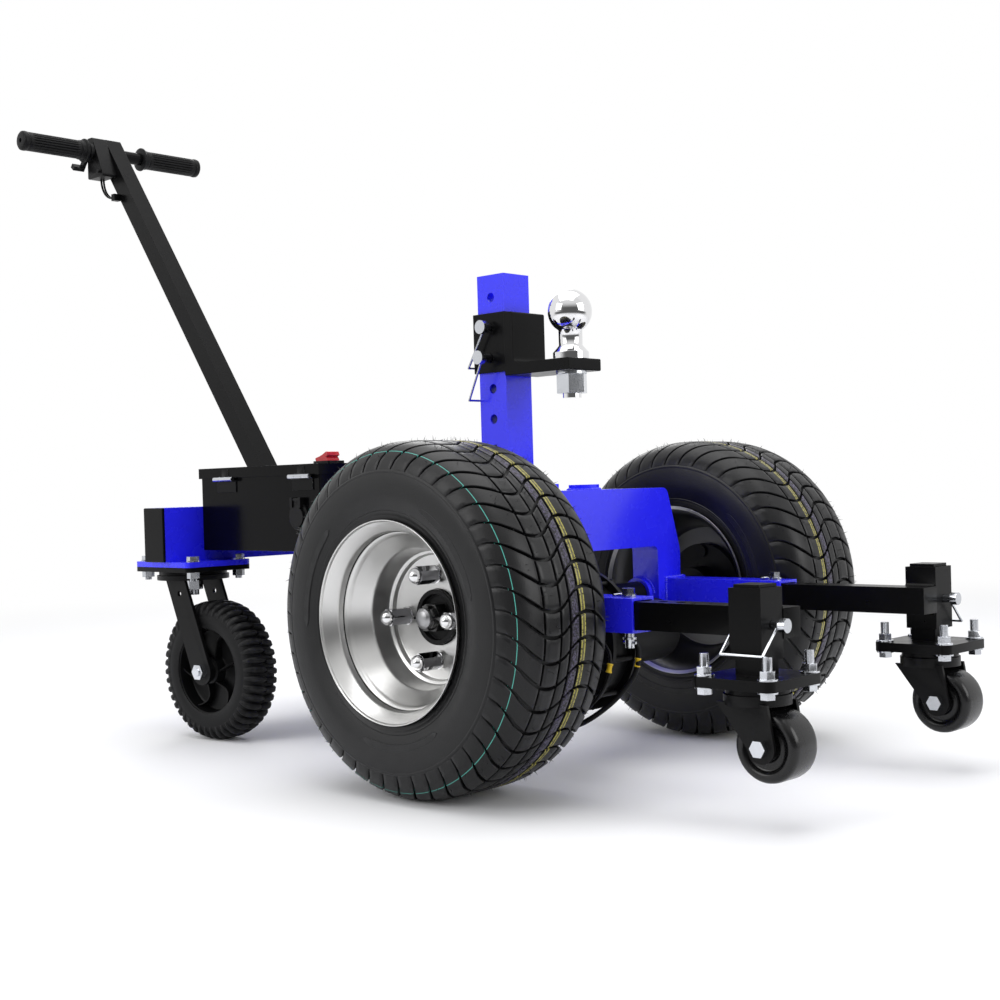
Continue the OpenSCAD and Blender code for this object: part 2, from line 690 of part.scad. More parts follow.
module controller() color([0.6, 0.62, 0.64]) on_dolly() {
    x1 = box_x1 - box_wall - 4;
    block([x1 - 46, x1], [-60, 60], [rail_z, rail_z + 40]);
    for (i = [0 : 7])
        block([x1 - 44 + i * 6, x1 - 42 + i * 6], [-56, 56], [rail_z + 40, rail_z + 48]);
}

// Lid with its skirt outside the box, and its share of the two hinges
module battery_lid() color([0.03, 0.03, 0.03]) on_dolly() {
    hole = switch_window / 2;
    over = lid_out - box_hw;
    difference() {
        block([box_x0 - over, box_x1 + over], [-lid_out, lid_out], [skirt_z, lid_top]);
        block([box_x0 - over + 2.5, box_x1 + over - 2.5], [-lid_in, lid_in], [skirt_z - 1, lid_under]);
        block([switch_x - hole, switch_x + hole], [switch_y - 12, switch_y + 12], [lid_under - 1, lid_top + 1]);
    }
    for (x = hinge_xs) {
        middle = [x + hinge_w / 3 + loose, x + 2 * hinge_w / 3 - loose];
        difference() {
            union() {
                rod_x(middle, hinge_y, hinge_z, hinge_r);
                block(middle, [hinge_y, -lid_out + 1], [hinge_z + 2, hinge_z + hinge_r]);
                block(middle, [-lid_out - 1.5, -lid_out + 1], [hinge_z + 2, lid_top - 3]);
            }
            rod_x([x, x + hinge_w], hinge_y, hinge_z, hinge_pin_r + slip);
        }
    }
}

// Hinge leaves on the box, each with two knuckles and its pin
module lid_hinges() color([0.75, 0.76, 0.78]) on_dolly() for (x = hinge_xs) {
    block([x, x + hinge_w], [-box_hw - 2, -box_hw], [hinge_z - 19, hinge_z - 2]);
    rod_x([x, x + hinge_w], hinge_y, hinge_z, hinge_pin_r);
    for (k = [[x, x + hinge_w / 3], [x + 2 * hinge_w / 3, x + hinge_w]]) {
        rod_x(k, hinge_y, hinge_z, hinge_r);
        block(k, [hinge_y, -box_hw - 1], [hinge_z - hinge_r, hinge_z - 2]);
    }
}

module switch_surround() color([0.06, 0.06, 0.06]) on_dolly() difference() {
    plate_xy([lid_top, lid_top + surround_h], rect(switch_x, switch_y, switch_w, 30, 4));
    block([switch_x - switch_window / 2, switch_x + switch_window / 2], [switch_y - 12, switch_y + 12],
        [lid_top - 1, lid_top + surround_h + 1]);
}

// Rocker on its own pin axis, tilted with its front edge up
module rocker() color([0.75, 0.05, 0.05]) on_dolly() translate([switch_x, switch_y, rocker_z]) rotate([0, -rocker_tilt, 0]) {
    paddle = switch_window / 2 - 2;
    rod_y(0, [-11, 11], 0, 10.5);
    plate_xz([-11, 11], rounded([[-paddle, 5], [paddle, 5], [paddle, 11.5], [0, 10], [-paddle, 11.5]], [0, 0, 1.5, 0, 1.5]));
}

module charge_port() color([0.05, 0.05, 0.05]) on_dolly() difference() {
    union() {
        rod_y(port_x, [-box_hw - 3, -box_hw], port_z, port_r);
        rod_y(port_x, [-box_hw - 1, -box_hw + 14], port_z, port_r - 6 - seat);
        for (s = [left, right])
            block([port_x + s * 9 - 2.5, port_x + s * 9 + 2.5], [cap_y - 5, -box_hw], [port_z + port_r - 8, cap_hinge_z + 3]);
        rod_x([port_x - 9, port_x + 9], cap_y - 2, cap_hinge_z, cap_pin_r);
    }
    rod_y(port_x, [-box_hw - 4, -box_hw + 10], port_z, port_r - 9);
}

// Flap over the charge port, hung from a pin above it
module charge_cap() color([0.07, 0.07, 0.07]) on_dolly() {
    knuckle = 6.5 - loose;
    difference() {
        union() {
            rod_y(port_x, [cap_y - 3, cap_y], port_z - 1, port_r - 6);
            block([port_x - knuckle, port_x + knuckle], [cap_y - 3, cap_y], [port_z, cap_hinge_z]);
            rod_x([port_x - knuckle, port_x + knuckle], cap_y - 2, cap_hinge_z, 2.4);
        }
        rod_x([port_x - 9, port_x + 9], cap_y - 2, cap_hinge_z, cap_pin_r + slip);
    }
}

// Socket for the foot of the handle, welded to the back of the rear beam
module handle_socket() color([0.05, 0.05, 0.05]) on_dolly() difference() {
    cheek_out = handle_hw + seat + cheek_t;
    union() {
        block([socket_face, beam_back], [-socket_hw, socket_hw], [beam_z + 2, beam_z + beam_h]);
        for (s = [left, right])
            plate_xz([min(s * (cheek_out - cheek_t), s * cheek_out), max(s * (cheek_out - cheek_t), s * cheek_out)],
                rounded([[socket_face + 1, beam_z + 12], [socket_face + 1, beam_z + beam_h + 36],
                    across(cheek_end, handle_hw + cheek_t), across(cheek_end, -handle_hw - cheek_t)], [0, 6, 6, 6]));
    }
    for (s = socket_bolt_s)
        rod_y(along(s).x, [-50, 50], along(s).y, front_bolt_d / 2 + seat);
}

module rear_bolt_places() for (s = [left, right], i = [-1, 1], j = [-1, 1])
    translate([rear_x + i * rear_bolt_l / 2, s * rear_y + j * rear_bolt_w / 2, 0]) children();

// Bolts of the rear caster plates and of the handle socket
module frame_bolts() color([0.8, 0.82, 0.84]) on_dolly() {
    r = front_bolt_d / 2;
    cheek = handle_hw + seat + cheek_t;
    rear_bolt_places() {
        rod_z(0, 0, [rear_plate_bottom - 13, beam_z], r);
        rod_z(0, 0, [beam_z, beam_z + 2], r * 2);
        hex_z(0, 0, [beam_z + 2, beam_z + 8], r * 1.8);
        hex_z(0, 0, [rear_plate_bottom - 9, rear_plate_bottom], r * 1.8);
    }
    for (s = socket_bolt_s) {
        p = along(s);
        rod_y(p.x, [-cheek - 4, cheek + 12], p.y, r);
        hex_y(p.x, [-cheek - 7, -cheek], p.y, r * 1.8);
        hex_y(p.x, [cheek, cheek + 9], p.y, r * 1.8);
    }
}

// Raked square tube with the crossbar through its head
module handle_tube() color([0.06, 0.06, 0.06]) on_dolly() difference() {
    union() {
        difference() {
            plate_xz([-handle_hw, handle_hw], [across(handle_top, handle_hw), across(handle_top, -handle_hw),
                across(tube_foot, -handle_hw), across(tube_foot, handle_hw)]);
            plate_xz([-handle_hw + tube_wall, handle_hw - tube_wall],
                [across(handle_top - tube_wall, handle_hw - tube_wall), across(handle_top - tube_wall, tube_wall - handle_hw),
                across(tube_foot - 10, tube_wall - handle_hw), across(tube_foot - 10, handle_hw - tube_wall)]);
        }
        rod_y(bar_x, [-bar_hl + 4, bar_hl - 4], bar_z, bar_r);
        clip = [bar_x + 38, bar_z - 49 - cable_bend];
        block([clip.x, clip.x + 10], [cable_ys[1] - 4, -handle_hw], [clip.y - 6, clip.y + 6]);
    }
    block([socket_face, 0], [-handle_w, handle_w], [0, bar_z]);
    for (s = socket_bolt_s)
        rod_y(along(s).x, [-50, 50], along(s).y, front_bolt_d / 2 + seat);
}

// Grips with ribs along them, a flange inside and a domed end outside
module grips() color([0.05, 0.05, 0.05]) on_dolly() for (s = [left, right])
    translate([bar_x, s * bar_hl, bar_z]) rotate([90 * s, 0, 0]) difference() {
        union() {
            cylinder(h = grip_l, r = grip_r - 1.2);
            cylinder(h = 5, r = grip_r + 0.8);
            translate([0, 0, grip_l - 4]) cylinder(h = 4, r = grip_flange_r);
            translate([0, 0, grip_l - 14]) cylinder(h = 10, r = grip_r + 0.8);
            for (i = [0 : grip_rib_n - 1])
                rotate([0, 0, 360 * i / grip_rib_n]) translate([grip_r - 1.6, 0, 4]) cylinder(h = grip_l - 12, r = 1.8);
        }
        translate([0, 0, 4]) cylinder(h = grip_l, r = bar_r + slip);
    }

module throttle_box() color([0.05, 0.05, 0.05]) on_dolly() difference() {
    union() {
        plate_xz(throttle_y, rounded([[throttle_x[0], throttle_z[0]], [throttle_x[1], throttle_z[0]],
            [throttle_x[1] - 34, throttle_z[1]], [throttle_x[0], throttle_z[1]]], [4, 4, 4, 4]));
        rod_y(throttle_x[1] - 12, [throttle_y[0] - 5, throttle_y[0]], throttle_z[0] + 10, 4);
    }
    rod_y(bar_x, [throttle_y[0] - 1, throttle_y[1] + 1], bar_z, bar_r + seat);
}

// Thumb lever that turns on the crossbar under the right grip
module throttle_lever() color([0.08, 0.08, 0.08]) on_dolly() translate([bar_x, 0, bar_z]) difference() {
    hold = [throttle_y[0] - 8, throttle_y[0] - 2];
    union() {
        rod_y(0, hold, 0, bar_r + 5);
        rotate([0, 42, 0]) {
            block([-5, 5], hold, [-36, -bar_r]);
            block([-5, 5], [hold[0] - 16, hold[1]], [-40, -32]);
        }
    }
    rod_y(0, [hold[0] - 1, hold[1] + 1], 0, bar_r + loose);
}

// Two thin cables that bend from the box down to the clip on the tube
module handle_cable() color([0.05, 0.05, 0.05]) on_dolly()
    for (y = cable_ys) translate([bar_x + cable_bend, y, throttle_z[0]]) rotate([90, 0, 0])
        rotate([0, 0, 180]) rotate_extrude(angle = 90) translate([cable_bend, 0]) circle(r = cable_r);

// Fixed half of the rear casters: the plate, its race and the kingpin with its nut
module rear_caster_plates() color([0.05, 0.05, 0.05]) on_dolly() for (s = [left, right]) difference() {
    union() {
        plate_xy([rear_plate_bottom, rear_plate_top], rect(rear_x, s * rear_y, rear_plate_l, rear_plate_w, 8));
        translate([rear_x, s * rear_y, 0]) {
            rod_z(0, 0, [rear_crown_z + rear_crown_t + loose, rear_plate_bottom], rear_race_r);
            rod_z(0, 0, [rear_crown_z - 24, rear_plate_bottom], rear_kingpin_r);
            hex_z(0, 0, [rear_crown_z - 16, rear_crown_z - 0.5], 14);
        }
    }
    translate([rear_x, s * rear_y, 0]) for (i = [-1, 1], j = [-1, 1])
        rod_z(i * rear_bolt_l / 2, j * rear_bolt_w / 2, [rear_plate_bottom - 1, rear_plate_top + 1],
            front_bolt_d / 2 + loose);
}

// Drive wheel frame: local Z points outwards along the axle
module at_wheel(s) on_dolly() translate([0, s * track / 2, axle_z]) rotate([-90 * s, 0, 0]) children();

// Half section of the rim sheet from the lip to the middle, as [radius, distance from the middle plane]
rim_face = [
    [rim_lip_r, tyre_hw], [rim_lip_r - 4.5, tyre_hw - 4], [rim_seat_r + 2.5, tyre_hw - 8],
    [rim_seat_r - rim_wall, tyre_hw - 19.5], [rim_seat_r - 6.5, tyre_hw - 26.5], [rim_well_r + 4, tyre_hw - 50.5],
    [rim_well_r, tyre_hw - 65.5]
];
rim_back = [
    [rim_lip_r, tyre_hw - rim_wall], [rim_seat_r + 7, tyre_hw - 9], [rim_seat_r, tyre_hw - 19],
    [rim_seat_r - 6.5 + rim_wall, tyre_hw - 27], [rim_well_r + 4 + rim_wall, tyre_hw - 50.5],
    [rim_well_r + rim_wall, tyre_hw - 65.5]
];

// Half section of the tyre from the middle of the tread round the shoulder to the bead
tyre_skin = [
    [tyre_r, tyre_hw * 0.47], [tyre_r - 4, tyre_hw * 0.7], [tyre_r - 10, tyre_hw * 0.82],
    [tyre_r - 24, tyre_hw - 5], [tyre_r - 44, tyre_hw], [rim_lip_r + 22, tyre_hw - 1.5], [rim_lip_r + 7, tyre_hw - 5.5],
    [rim_lip_r + loose, tyre_hw - 6], [rim_seat_r + 7 + loose, tyre_hw - 9], [rim_seat_r + loose, tyre_hw - 19],
    [rim_seat_r - 3, tyre_hw - 27]
];
tyre_lining = [
    [rim_seat_r + 6, tyre_hw - 24], [rim_lip_r + 7, tyre_hw - 15], [tyre_r - 44, tyre_hw - 9],
    [tyre_r - tread_t - 14, tyre_hw - 14], [tyre_r - tread_t - 2, tyre_hw * 0.6], [tyre_r - tread_t, tyre_hw * 0.4]
];

module tyre(s) color([0.1, 0.1, 0.1]) at_wheel(s) rotate_extrude() difference() {
    polygon(concat(flipped(tyre_skin), tyre_skin, tyre_lining, flipped(tyre_lining)));
    for (o = [0.14, 0.42], m = [-1, 1])
        translate([tyre_r - groove_depth, m * o * tyre_hw - 2]) square([groove_depth + 1, 4]);
}

// Rim: a rolled sheet with a flat disc in its middle plane
module rim(s) color([0.72, 0.73, 0.75]) at_wheel(s) difference() {
    rotate_extrude() polygon(concat(
        rim_back, flipped(rim_back), mirrored(rim_face),
        [[rim_well_r, -disc_rise - rim_wall], [rim_well_r - 3, -rim_wall], [pilot_r + loose, -rim_wall],
        [pilot_r + loose, 0], [rim_well_r - 13, 0], [rim_well_r - 13, disc_rise], [rim_well_r - 8, disc_rise + 1.5],
        [rim_well_r - 4, disc_rise + 5]], flipped(mirrored(rim_face))
    ));
    studs() translate([0, 0, -rim_wall - 1]) cylinder(h = rim_wall + 2, r = stud_d / 2 + 0.5);
}

module studs() for (i = [0 : stud_n - 1]) rotate([0, 0, 360 * i / stud_n]) translate([stud_pcd / 2, 0, 0]) children();

// Hub with its flange behind the disc and its pilot through it
module hub(s) color([0.06, 0.06, 0.06]) at_wheel(s) difference() {
    union() {
        rod_z(0, 0, [-hub_back, -rim_wall], pilot_r - 4);
        rod_z(0, 0, [-rim_wall - hub_flange_t, -rim_wall], stud_pcd / 2 + 11);
        rod_z(0, 0, [-rim_wall, hub_front], pilot_r);
    }
    rod_z(0, 0, [-nut_seat, hub_front + 1], pilot_r - 6);
    rod_z(0, 0, [-hub_back - 1, 0], shaft_r + slip);
    studs() rod_z(0, 0, [-rim_wall - hub_flange_t - 1, 0], stud_d / 2 + seat);
}

// Studs with their long nuts, the castle nut on the axle and its split pin
module wheel_nuts(s) color([0.85, 0.85, 0.87]) at_wheel(s) {
    nut_r = 10.9;
    dome_r = 9.4;
    studs() {
        rod_z(0, 0, [-rim_wall - hub_flange_t - 4, 6], stud_d / 2);
        rod_z(0, 0, [-rim_wall - hub_flange_t - 4, -rim_wall - hub_flange_t], stud_d / 2 + 3);
        cylinder(h = 5, r1 = stud_d / 2 + 1, r2 = nut_r);
        hex_z(0, 0, [5, lug_len - dome_r], nut_r);
        translate([0, 0, lug_len - dome_r]) sphere(r = dome_r);
    }
    difference() {
        union() {
            hex_z(0, 0, [-nut_seat, 14], castle_nut_r);
            rod_z(0, 0, [14, 22], castle_nut_r - 3);
        }
        rod_z(0, 0, [-nut_seat - 1, 23], shaft_r + slip);
        for (i = [0 : 2])
            rotate([0, 0, 60 * i]) block([-castle_nut_r, castle_nut_r], [-2.5, 2.5], [15, 23]);
    }
    rod_x([-20, 22], 0, cotter_z, cotter_r);
    rod_z(-20, 0, [cotter_z - 2, cotter_z + 5], cotter_r);
    rod_y(23, [-2, 2], cotter_z, 4);
}

// Half shaft from the differential through the axle tube to the castle nut
module axle_shaft(s) color([0.6, 0.6, 0.62]) at_wheel(s) difference() {
    inner = s * track / 2 - gear_y;
    union() {
        rod_z(0, 0, [1 - abs(inner), shaft_end - 3], shaft_r);
        translate([0, 0, shaft_end - 3]) cylinder(h = 3, r1 = shaft_r, r2 = shaft_r - 4);
    }
    rod_x([-shaft_r - 1, shaft_r + 1], 0, cotter_z, cotter_r + seat);
}

// Rear caster frame: turned by yaw about its swivel, with X along the trail
module at_rear(s, yaw) on_dolly() translate([rear_x, s * rear_y, 0]) rotate([0, 0, yaw]) children();

module rear_fork(s, yaw) color([0.05, 0.05, 0.05]) at_rear(s, yaw) {
    out = rear_fork_gap + rear_fork_t;
    difference() {
        union() {
            rod_z(0, 0, [rear_crown_z, rear_crown_z + rear_crown_t], rear_crown_r);
            for (m = [-1, 1]) {
                y = [min(m * rear_fork_gap, m * out), max(m * rear_fork_gap, m * out)];
                plate_xz(y, [[-20, rear_crown_z + 1], [22, rear_crown_z + 1], [rear_trail + 18, rear_wheel_r + 8],
                    [rear_trail - 19, rear_wheel_r - 6]]);
                rod_y(rear_trail, y, rear_wheel_r, 20);
            }
        }
        rod_z(0, 0, [rear_crown_z - 1, rear_crown_z + rear_crown_t + 1], rear_kingpin_r + slip);
        rod_y(rear_trail, [-out - 1, out + 1], rear_wheel_r, rear_axle_r + slip);
        rod_y(10, [-out - 1, out + 1], rear_crown_z - 20, 4);
    }
    rod_y(rear_trail, [-out - 10, out + 12], rear_wheel_r, rear_axle_r);
    hex_y(rear_trail, [-out - 8, -out], rear_wheel_r, 2 * rear_axle_r);
    hex_y(rear_trail, [out, out + 10], rear_wheel_r, 2 * rear_axle_r);
}

// Solid tyre on a dished plastic hub
module rear_wheel(s, yaw) color([0.08, 0.08, 0.08]) at_rear(s, yaw) translate([rear_trail, 0, rear_wheel_r])
    rotate([90, 0, 0]) rotate_extrude() {
        hw = rear_wheel_w / 2;
        hub_hl = rear_fork_gap - 0.5;
        r = rear_wheel_r;
        half = [[rear_axle_r + slip, hub_hl], [19, hub_hl], [20, hw - 8], [r - 44, hw - 14], [r - 38, hw - 4],
            [r - 34, hw - 1], [r - 10, hw], [r - 3, hw - 7], [r, hw - 16]];
        polygon(concat(half, flipped(half)));
    }

// Front arm with its row of holes and the welded sleeve for the leg
module arm(s) color([0.05, 0.05, 0.05]) on_dolly() difference() {
    joint_y = arm_y + arm_w / 2;
    sleeve_x = [leg_x - socket_out / 2, leg_x + socket_out / 2];
    union() {
        square_x([arm_in, arm_out], s * arm_y, arm_z, arm_w);
        square_z(leg_x, s * leg_y, [sleeve_z, sleeve_top], socket_out);
        for (z = [arm_z - arm_w / 2, arm_z + arm_w / 2])
            rod_x([sleeve_x[0] + 1, sleeve_x[1] - 1], s * joint_y, z, 3);
    }
    square_x([arm_in - 1, arm_out - arm_wall], s * arm_y, arm_z, arm_w - 2 * arm_wall);
    square_z(leg_x, s * leg_y, [sleeve_z - 1, sleeve_top + 1], socket_w);
    for (i = [-3 : 3])
        rod_z(arm_pin_x + i * arm_pitch, s * arm_y, [arm_z - arm_w, arm_z + arm_w], arm_pin_r + loose);
    rod_x([sleeve_x[0] - 1, sleeve_x[1] + 1], s * leg_y, leg_pin_z, leg_pin_r + loose);
}

// Leg with its plate, and the fixed half of the caster under it
module leg(s) color([0.05, 0.05, 0.05]) on_dolly() translate([leg_x, s * leg_y, 0]) {
    spot = front_bolt_pitch / 2;
    leg_top = sleeve_top + 3.5;
    difference() {
        union() {
            square_z(0, 0, [front_plate_top - 1, leg_top], arm_w);
            plate_xy([front_plate_z, front_plate_top], rect(0, 0, front_plate_w, front_plate_w, 10));
        }
        square_z(0, 0, [front_plate_z - 1, leg_top - arm_wall], arm_w - 2 * arm_wall);
        rod_x([-arm_w, arm_w], 0, leg_pin_z, leg_pin_r + loose);
        for (i = [-1, 1], j = [-1, 1])
            rod_z(i * spot, j * spot, [front_plate_z - 1, front_plate_top + 1], front_bolt_d / 2 + loose);
    }
    difference() {
        union() {
            plate_xy([front_plate_bottom, front_plate_z], rect(0, 0, front_plate_w, front_plate_w, 10));
            rod_z(0, 0, [front_plate_bottom - 8 + loose, front_plate_bottom], front_race_r);
            rod_z(0, 0, [front_crown_z + 1, front_plate_bottom], front_kingpin_r);
            rod_z(0, 0, [front_crown_z + 0.5, front_crown_z + 5], front_kingpin_r + 4);
        }
        for (i = [-1, 1], j = [-1, 1])
            rod_z(i * spot, j * spot, [front_plate_bottom - 1, front_plate_z + 1], front_bolt_d / 2 + loose);
    }
}

module front_bolts(s) color([0.8, 0.82, 0.84]) on_dolly() translate([leg_x, s * leg_y, 0]) {
    spot = front_bolt_pitch / 2;
    r = front_bolt_d / 2;
    for (i = [-1, 1], j = [-1, 1]) {
        rod_z(i * spot, j * spot, [front_plate_bottom - 8, front_plate_top + 24], r);
        rod_z(i * spot, j * spot, [front_plate_bottom - 2, front_plate_bottom], r * 2.1);
        hex_z(i * spot, j * spot, [front_plate_bottom - 8, front_plate_bottom], r * 1.7);
        rod_z(i * spot, j * spot, [front_plate_top, front_plate_top + 2], r * 2.1);
        hex_z(i * spot, j * spot, [front_plate_top, front_plate_top + 10], r * 1.7);
    }
}

module leg_pin(s) color([0.8, 0.82, 0.84]) on_dolly() {
    x0 = leg_x - socket_out / 2 - 9;
    x1 = leg_x + socket_out / 2 + 11;
    translate([x1, s * leg_y, leg_pin_z]) rotate([0, -90, 0])
        lock_pin(x1 - x0, leg_pin_r, 7.5, leg_bail_len, s > 0 ? -135 : -45, 4, x1 - x0 - 4);
}

// Swivelling fork of a front caster, with the axle bolt of its wheel
module front_fork(s) color([0.05, 0.05, 0.05]) on_dolly() translate([leg_x, s * leg_y, 0]) {
    out = front_fork_gap + front_fork_t;
    axle_r = 5;
    difference() {
        union() {
            rod_z(0, 0, [front_crown_z, front_plate_bottom - 8], front_crown_r);
            for (m = [-1, 1]) {
                y = [min(m * front_fork_gap, m * out), max(m * front_fork_gap, m * out)];
                plate_xz(y, [[-32, front_crown_z + 3], [30, front_crown_z + 3], [front_trail + 16, front_axle_z + 3],
                    [front_trail - 16, front_axle_z - 3]]);
                rod_y(front_trail, y, front_axle_z, 16.3);
            }
        }
        rod_z(0, 0, [front_crown_z - 1, front_plate_bottom], front_kingpin_r + slip);
        rod_z(0, 0, [front_crown_z - 1, front_crown_z + 6], front_kingpin_r + 5);
        rod_y(front_trail, [-out - 1, out + 1], front_axle_z, axle_r + slip);
    }
    rod_y(front_trail, [-out - 7, out + 9], front_axle_z, axle_r);
    hex_y(front_trail, [-out - 7, -out], front_axle_z, 1.9 * axle_r);
    hex_y(front_trail, [out, out + 7], front_axle_z, 1.9 * axle_r);
}

module front_wheel(s) color([0.07, 0.07, 0.07]) on_dolly()
    translate([leg_x + front_trail, s * leg_y, front_axle_z]) rotate([90, 0, 0]) rotate_extrude() {
        hw = front_wheel_w / 2;
        r = front_wheel_r;
        half = [[5 + slip, hw + 2], [11, hw + 2], [12, hw - 5], [r - 13, hw - 5], [r - 10, hw], [r - 5, hw], [r, hw - 6]];
        polygon(concat(half, flipped(half)));
    }

module tyre_left() tyre(left);
module tyre_right() tyre(right);
module rim_left() rim(left);
module rim_right() rim(right);
module hub_left() hub(left);
module hub_right() hub(right);
module wheel_nuts_left() wheel_nuts(left);
module wheel_nuts_right() wheel_nuts(right);
module axle_shaft_left() axle_shaft(left);
module axle_shaft_right() axle_shaft(right);
module rear_fork_left() rear_fork(left, 0);
module rear_fork_right() rear_fork(right, rear_yaw_right);
module rear_wheel_left() rear_wheel(left, 0);
module rear_wheel_right() rear_wheel(right, rear_yaw_right);
module arm_left() arm(left);
module arm_right() arm(right);
module leg_left() leg(left);
module leg_right() leg(right);
module front_bolts_left() front_bolts(left);
module front_bolts_right() front_bolts(right);
module leg_pin_left() leg_pin(left);
module leg_pin_right() leg_pin(right);
module front_fork_left() front_fork(left);
module front_fork_right() front_fork(right);
module front_wheel_left() front_wheel(left);
module front_wheel_right() front_wheel(right);

front_bridge();
frame_rails();
rear_beam();
beam_caps();
hitch_post();
arm_receivers();
ball_bracket();
hitch_ball();
ball_nut();
upper_post_pin();
lower_post_pin();
arm_pins();
gear_case();
case_bolts();
motor_case();
armature();
ring_gear();
battery_box();
batteries();
controller();
battery_lid();
lid_hinges();
switch_surround();
rocker();
charge_port();
charge_cap();
handle_socket();
frame_bolts();
handle_tube();
grips();
throttle_box();
throttle_lever();
handle_cable();
rear_caster_plates();
tyre_left();
rim_left();
hub_left();
wheel_nuts_left();
axle_shaft_left();
tyre_right();
rim_right();
hub_right();
wheel_nuts_right();
axle_shaft_right();
rear_fork_left();
rear_wheel_left();
rear_fork_right();
rear_wheel_right();
arm_left();
leg_left();
front_bolts_left();
leg_pin_left();
front_fork_left();
front_wheel_left();
arm_right();
leg_right();
front_bolts_right();
leg_pin_right();
front_fork_right();
front_wheel_right();
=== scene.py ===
# Powered trailer dolly: blue steel frame, two block-tread drive wheels, four casters,
# a tow ball on a post, a battery box and a raked steering handle.
import json
import bmesh
import bpy
from math import atan2, copysign, cos, degrees, hypot, pi, radians, sin, sqrt
from mathutils import Matrix, Vector


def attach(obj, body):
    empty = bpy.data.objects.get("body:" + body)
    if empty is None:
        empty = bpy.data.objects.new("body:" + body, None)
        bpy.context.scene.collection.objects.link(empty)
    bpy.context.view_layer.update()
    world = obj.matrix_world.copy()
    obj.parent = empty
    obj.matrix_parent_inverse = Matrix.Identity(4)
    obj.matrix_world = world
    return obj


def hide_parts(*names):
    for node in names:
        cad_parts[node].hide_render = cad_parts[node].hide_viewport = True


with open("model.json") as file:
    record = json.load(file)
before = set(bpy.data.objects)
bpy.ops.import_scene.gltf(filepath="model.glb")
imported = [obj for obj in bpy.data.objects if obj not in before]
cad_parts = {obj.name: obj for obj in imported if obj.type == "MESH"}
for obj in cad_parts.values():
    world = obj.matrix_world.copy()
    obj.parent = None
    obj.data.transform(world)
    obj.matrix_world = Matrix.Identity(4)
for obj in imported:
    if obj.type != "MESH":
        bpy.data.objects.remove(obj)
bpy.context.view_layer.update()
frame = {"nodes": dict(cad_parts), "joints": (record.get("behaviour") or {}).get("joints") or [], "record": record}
nodes = frame["nodes"]
axleX = 0.344044  # where the drive axle lies in the row frame
bodyOf = {n: b for b, names in frame["record"]["behaviour"]["bodies"].items() for n in names}
sides = (("left", 1), ("right", -1))
print("frame loaded:", len(nodes), "nodes")

# ---- camera, lamps and floor ----
shot = {
    "place": (1.61141, -1.46547, 0.36040),
    "right": (0.727106, 0.685932, -0.028531),
    "up": (0.010810, 0.030115, 0.999488),
    "ahead": (-0.686440, 0.727042, -0.014482),
    "lens": 53.01,
    "shiftX": -0.02015,
    "shiftY": 0.00785,
}
studio = {
    "worldStrength": 0.5,
    "worldColour": (0.97, 0.98, 1.0),
    "roomShade": 0.12,  # how bright the room behind the camera is in reflections; the backdrop is 1
    "roofRamp": (0.1, 0.7, 0.0, 0.9),  # the roof in reflections: height from and to, dark and bright
    "backdropRamp": (-0.85, -0.1),  # where the room turns to the backdrop, in the world
    "floorRamp": (-1.6, 0.6),  # and on the floor, in metres
    "floorColour": (0.93, 0.93, 0.94),
    "floorFade": (1.5, 3.4),  # the floor turns to plain white between these distances
    "lamps": {  # place, aim, size, power
        "overhead": ((0.1, -0.2, 3.0), (0.0, 0.0, 0.2), 3.0, 62),
        "frontSoft": ((3.2, 0.6, 1.5), (0.2, 0.0, 0.35), 1.8, 42),
        "sideSoft": ((-0.9, -3.4, 1.9), (0.1, 0.0, 0.25), 2.0, 46),
        "backSoft": ((-2.6, 2.4, 2.4), (0.0, 0.0, 0.3), 1.6, 26),
    },
}


def addObject(name, data):
    thing = bpy.data.objects.new(name, data)
    bpy.context.scene.collection.objects.link(thing)
    return thing


def setCamera():
    data = bpy.data.cameras.new("shotCamera")
    data.sensor_width = 36
    data.lens = shot["lens"]
    data.shift_x = shot["shiftX"]
    data.shift_y = shot["shiftY"]
    camera = addObject("shotCamera", data)
    turn = Matrix((shot["right"], shot["up"], [-v for v in shot["ahead"]])).transposed().to_4x4()
    camera.matrix_world = Matrix.Translation(shot["place"]) @ turn
    bpy.context.scene.camera = camera


def setLamps():
    for name, (place, aim, size, power) in studio["lamps"].items():
        data = bpy.data.lights.new(name, "AREA")
        data.shape = "SQUARE"
        data.size = size
        data.energy = power
        lamp = addObject(name, data)
        lamp.location = place
        lamp.rotation_euler = (Vector(aim) - Vector(place)).to_track_quat("-Z", "Y").to_euler()


def setInputs(tree, node, inputs):
    # gives each input its value, or links it to a socket
    for label, value in inputs.items():
        socket = node.inputs[label]
        if isinstance(value, bpy.types.NodeSocket):
            tree.links.new(value, socket)
        elif socket.type == "RGBA":
            socket.default_value = (*value, 1)
        else:
            socket.default_value = value


def addNode(tree, kind, inputs, **settings):
    node = tree.nodes.new(kind)
    for label, value in settings.items():
        setattr(node, label, value)
    setInputs(tree, node, inputs)
    return node


def mathNode(tree, operation, a, b=0.5, clamp=False):
    return addNode(tree, "ShaderNodeMath", {0: a, 1: b}, operation=operation, use_clamp=clamp).outputs[0]


def objectPlace(tree):
    return tree.nodes.new("ShaderNodeTexCoord").outputs["Object"]


def times(tree, a, b):
    return mathNode(tree, "MULTIPLY", a, b)


def less(tree, a, b):
    return mathNode(tree, "SUBTRACT", a, b)


def rampNode(tree, value, start, end, low=0.0, high=1.0, kind="SMOOTHSTEP"):
    inputs = {"Value": value, "From Min": start, "From Max": end, "To Min": low, "To Max": high}
    return addNode(tree, "ShaderNodeMapRange", inputs, interpolation_type=kind).outputs[0]


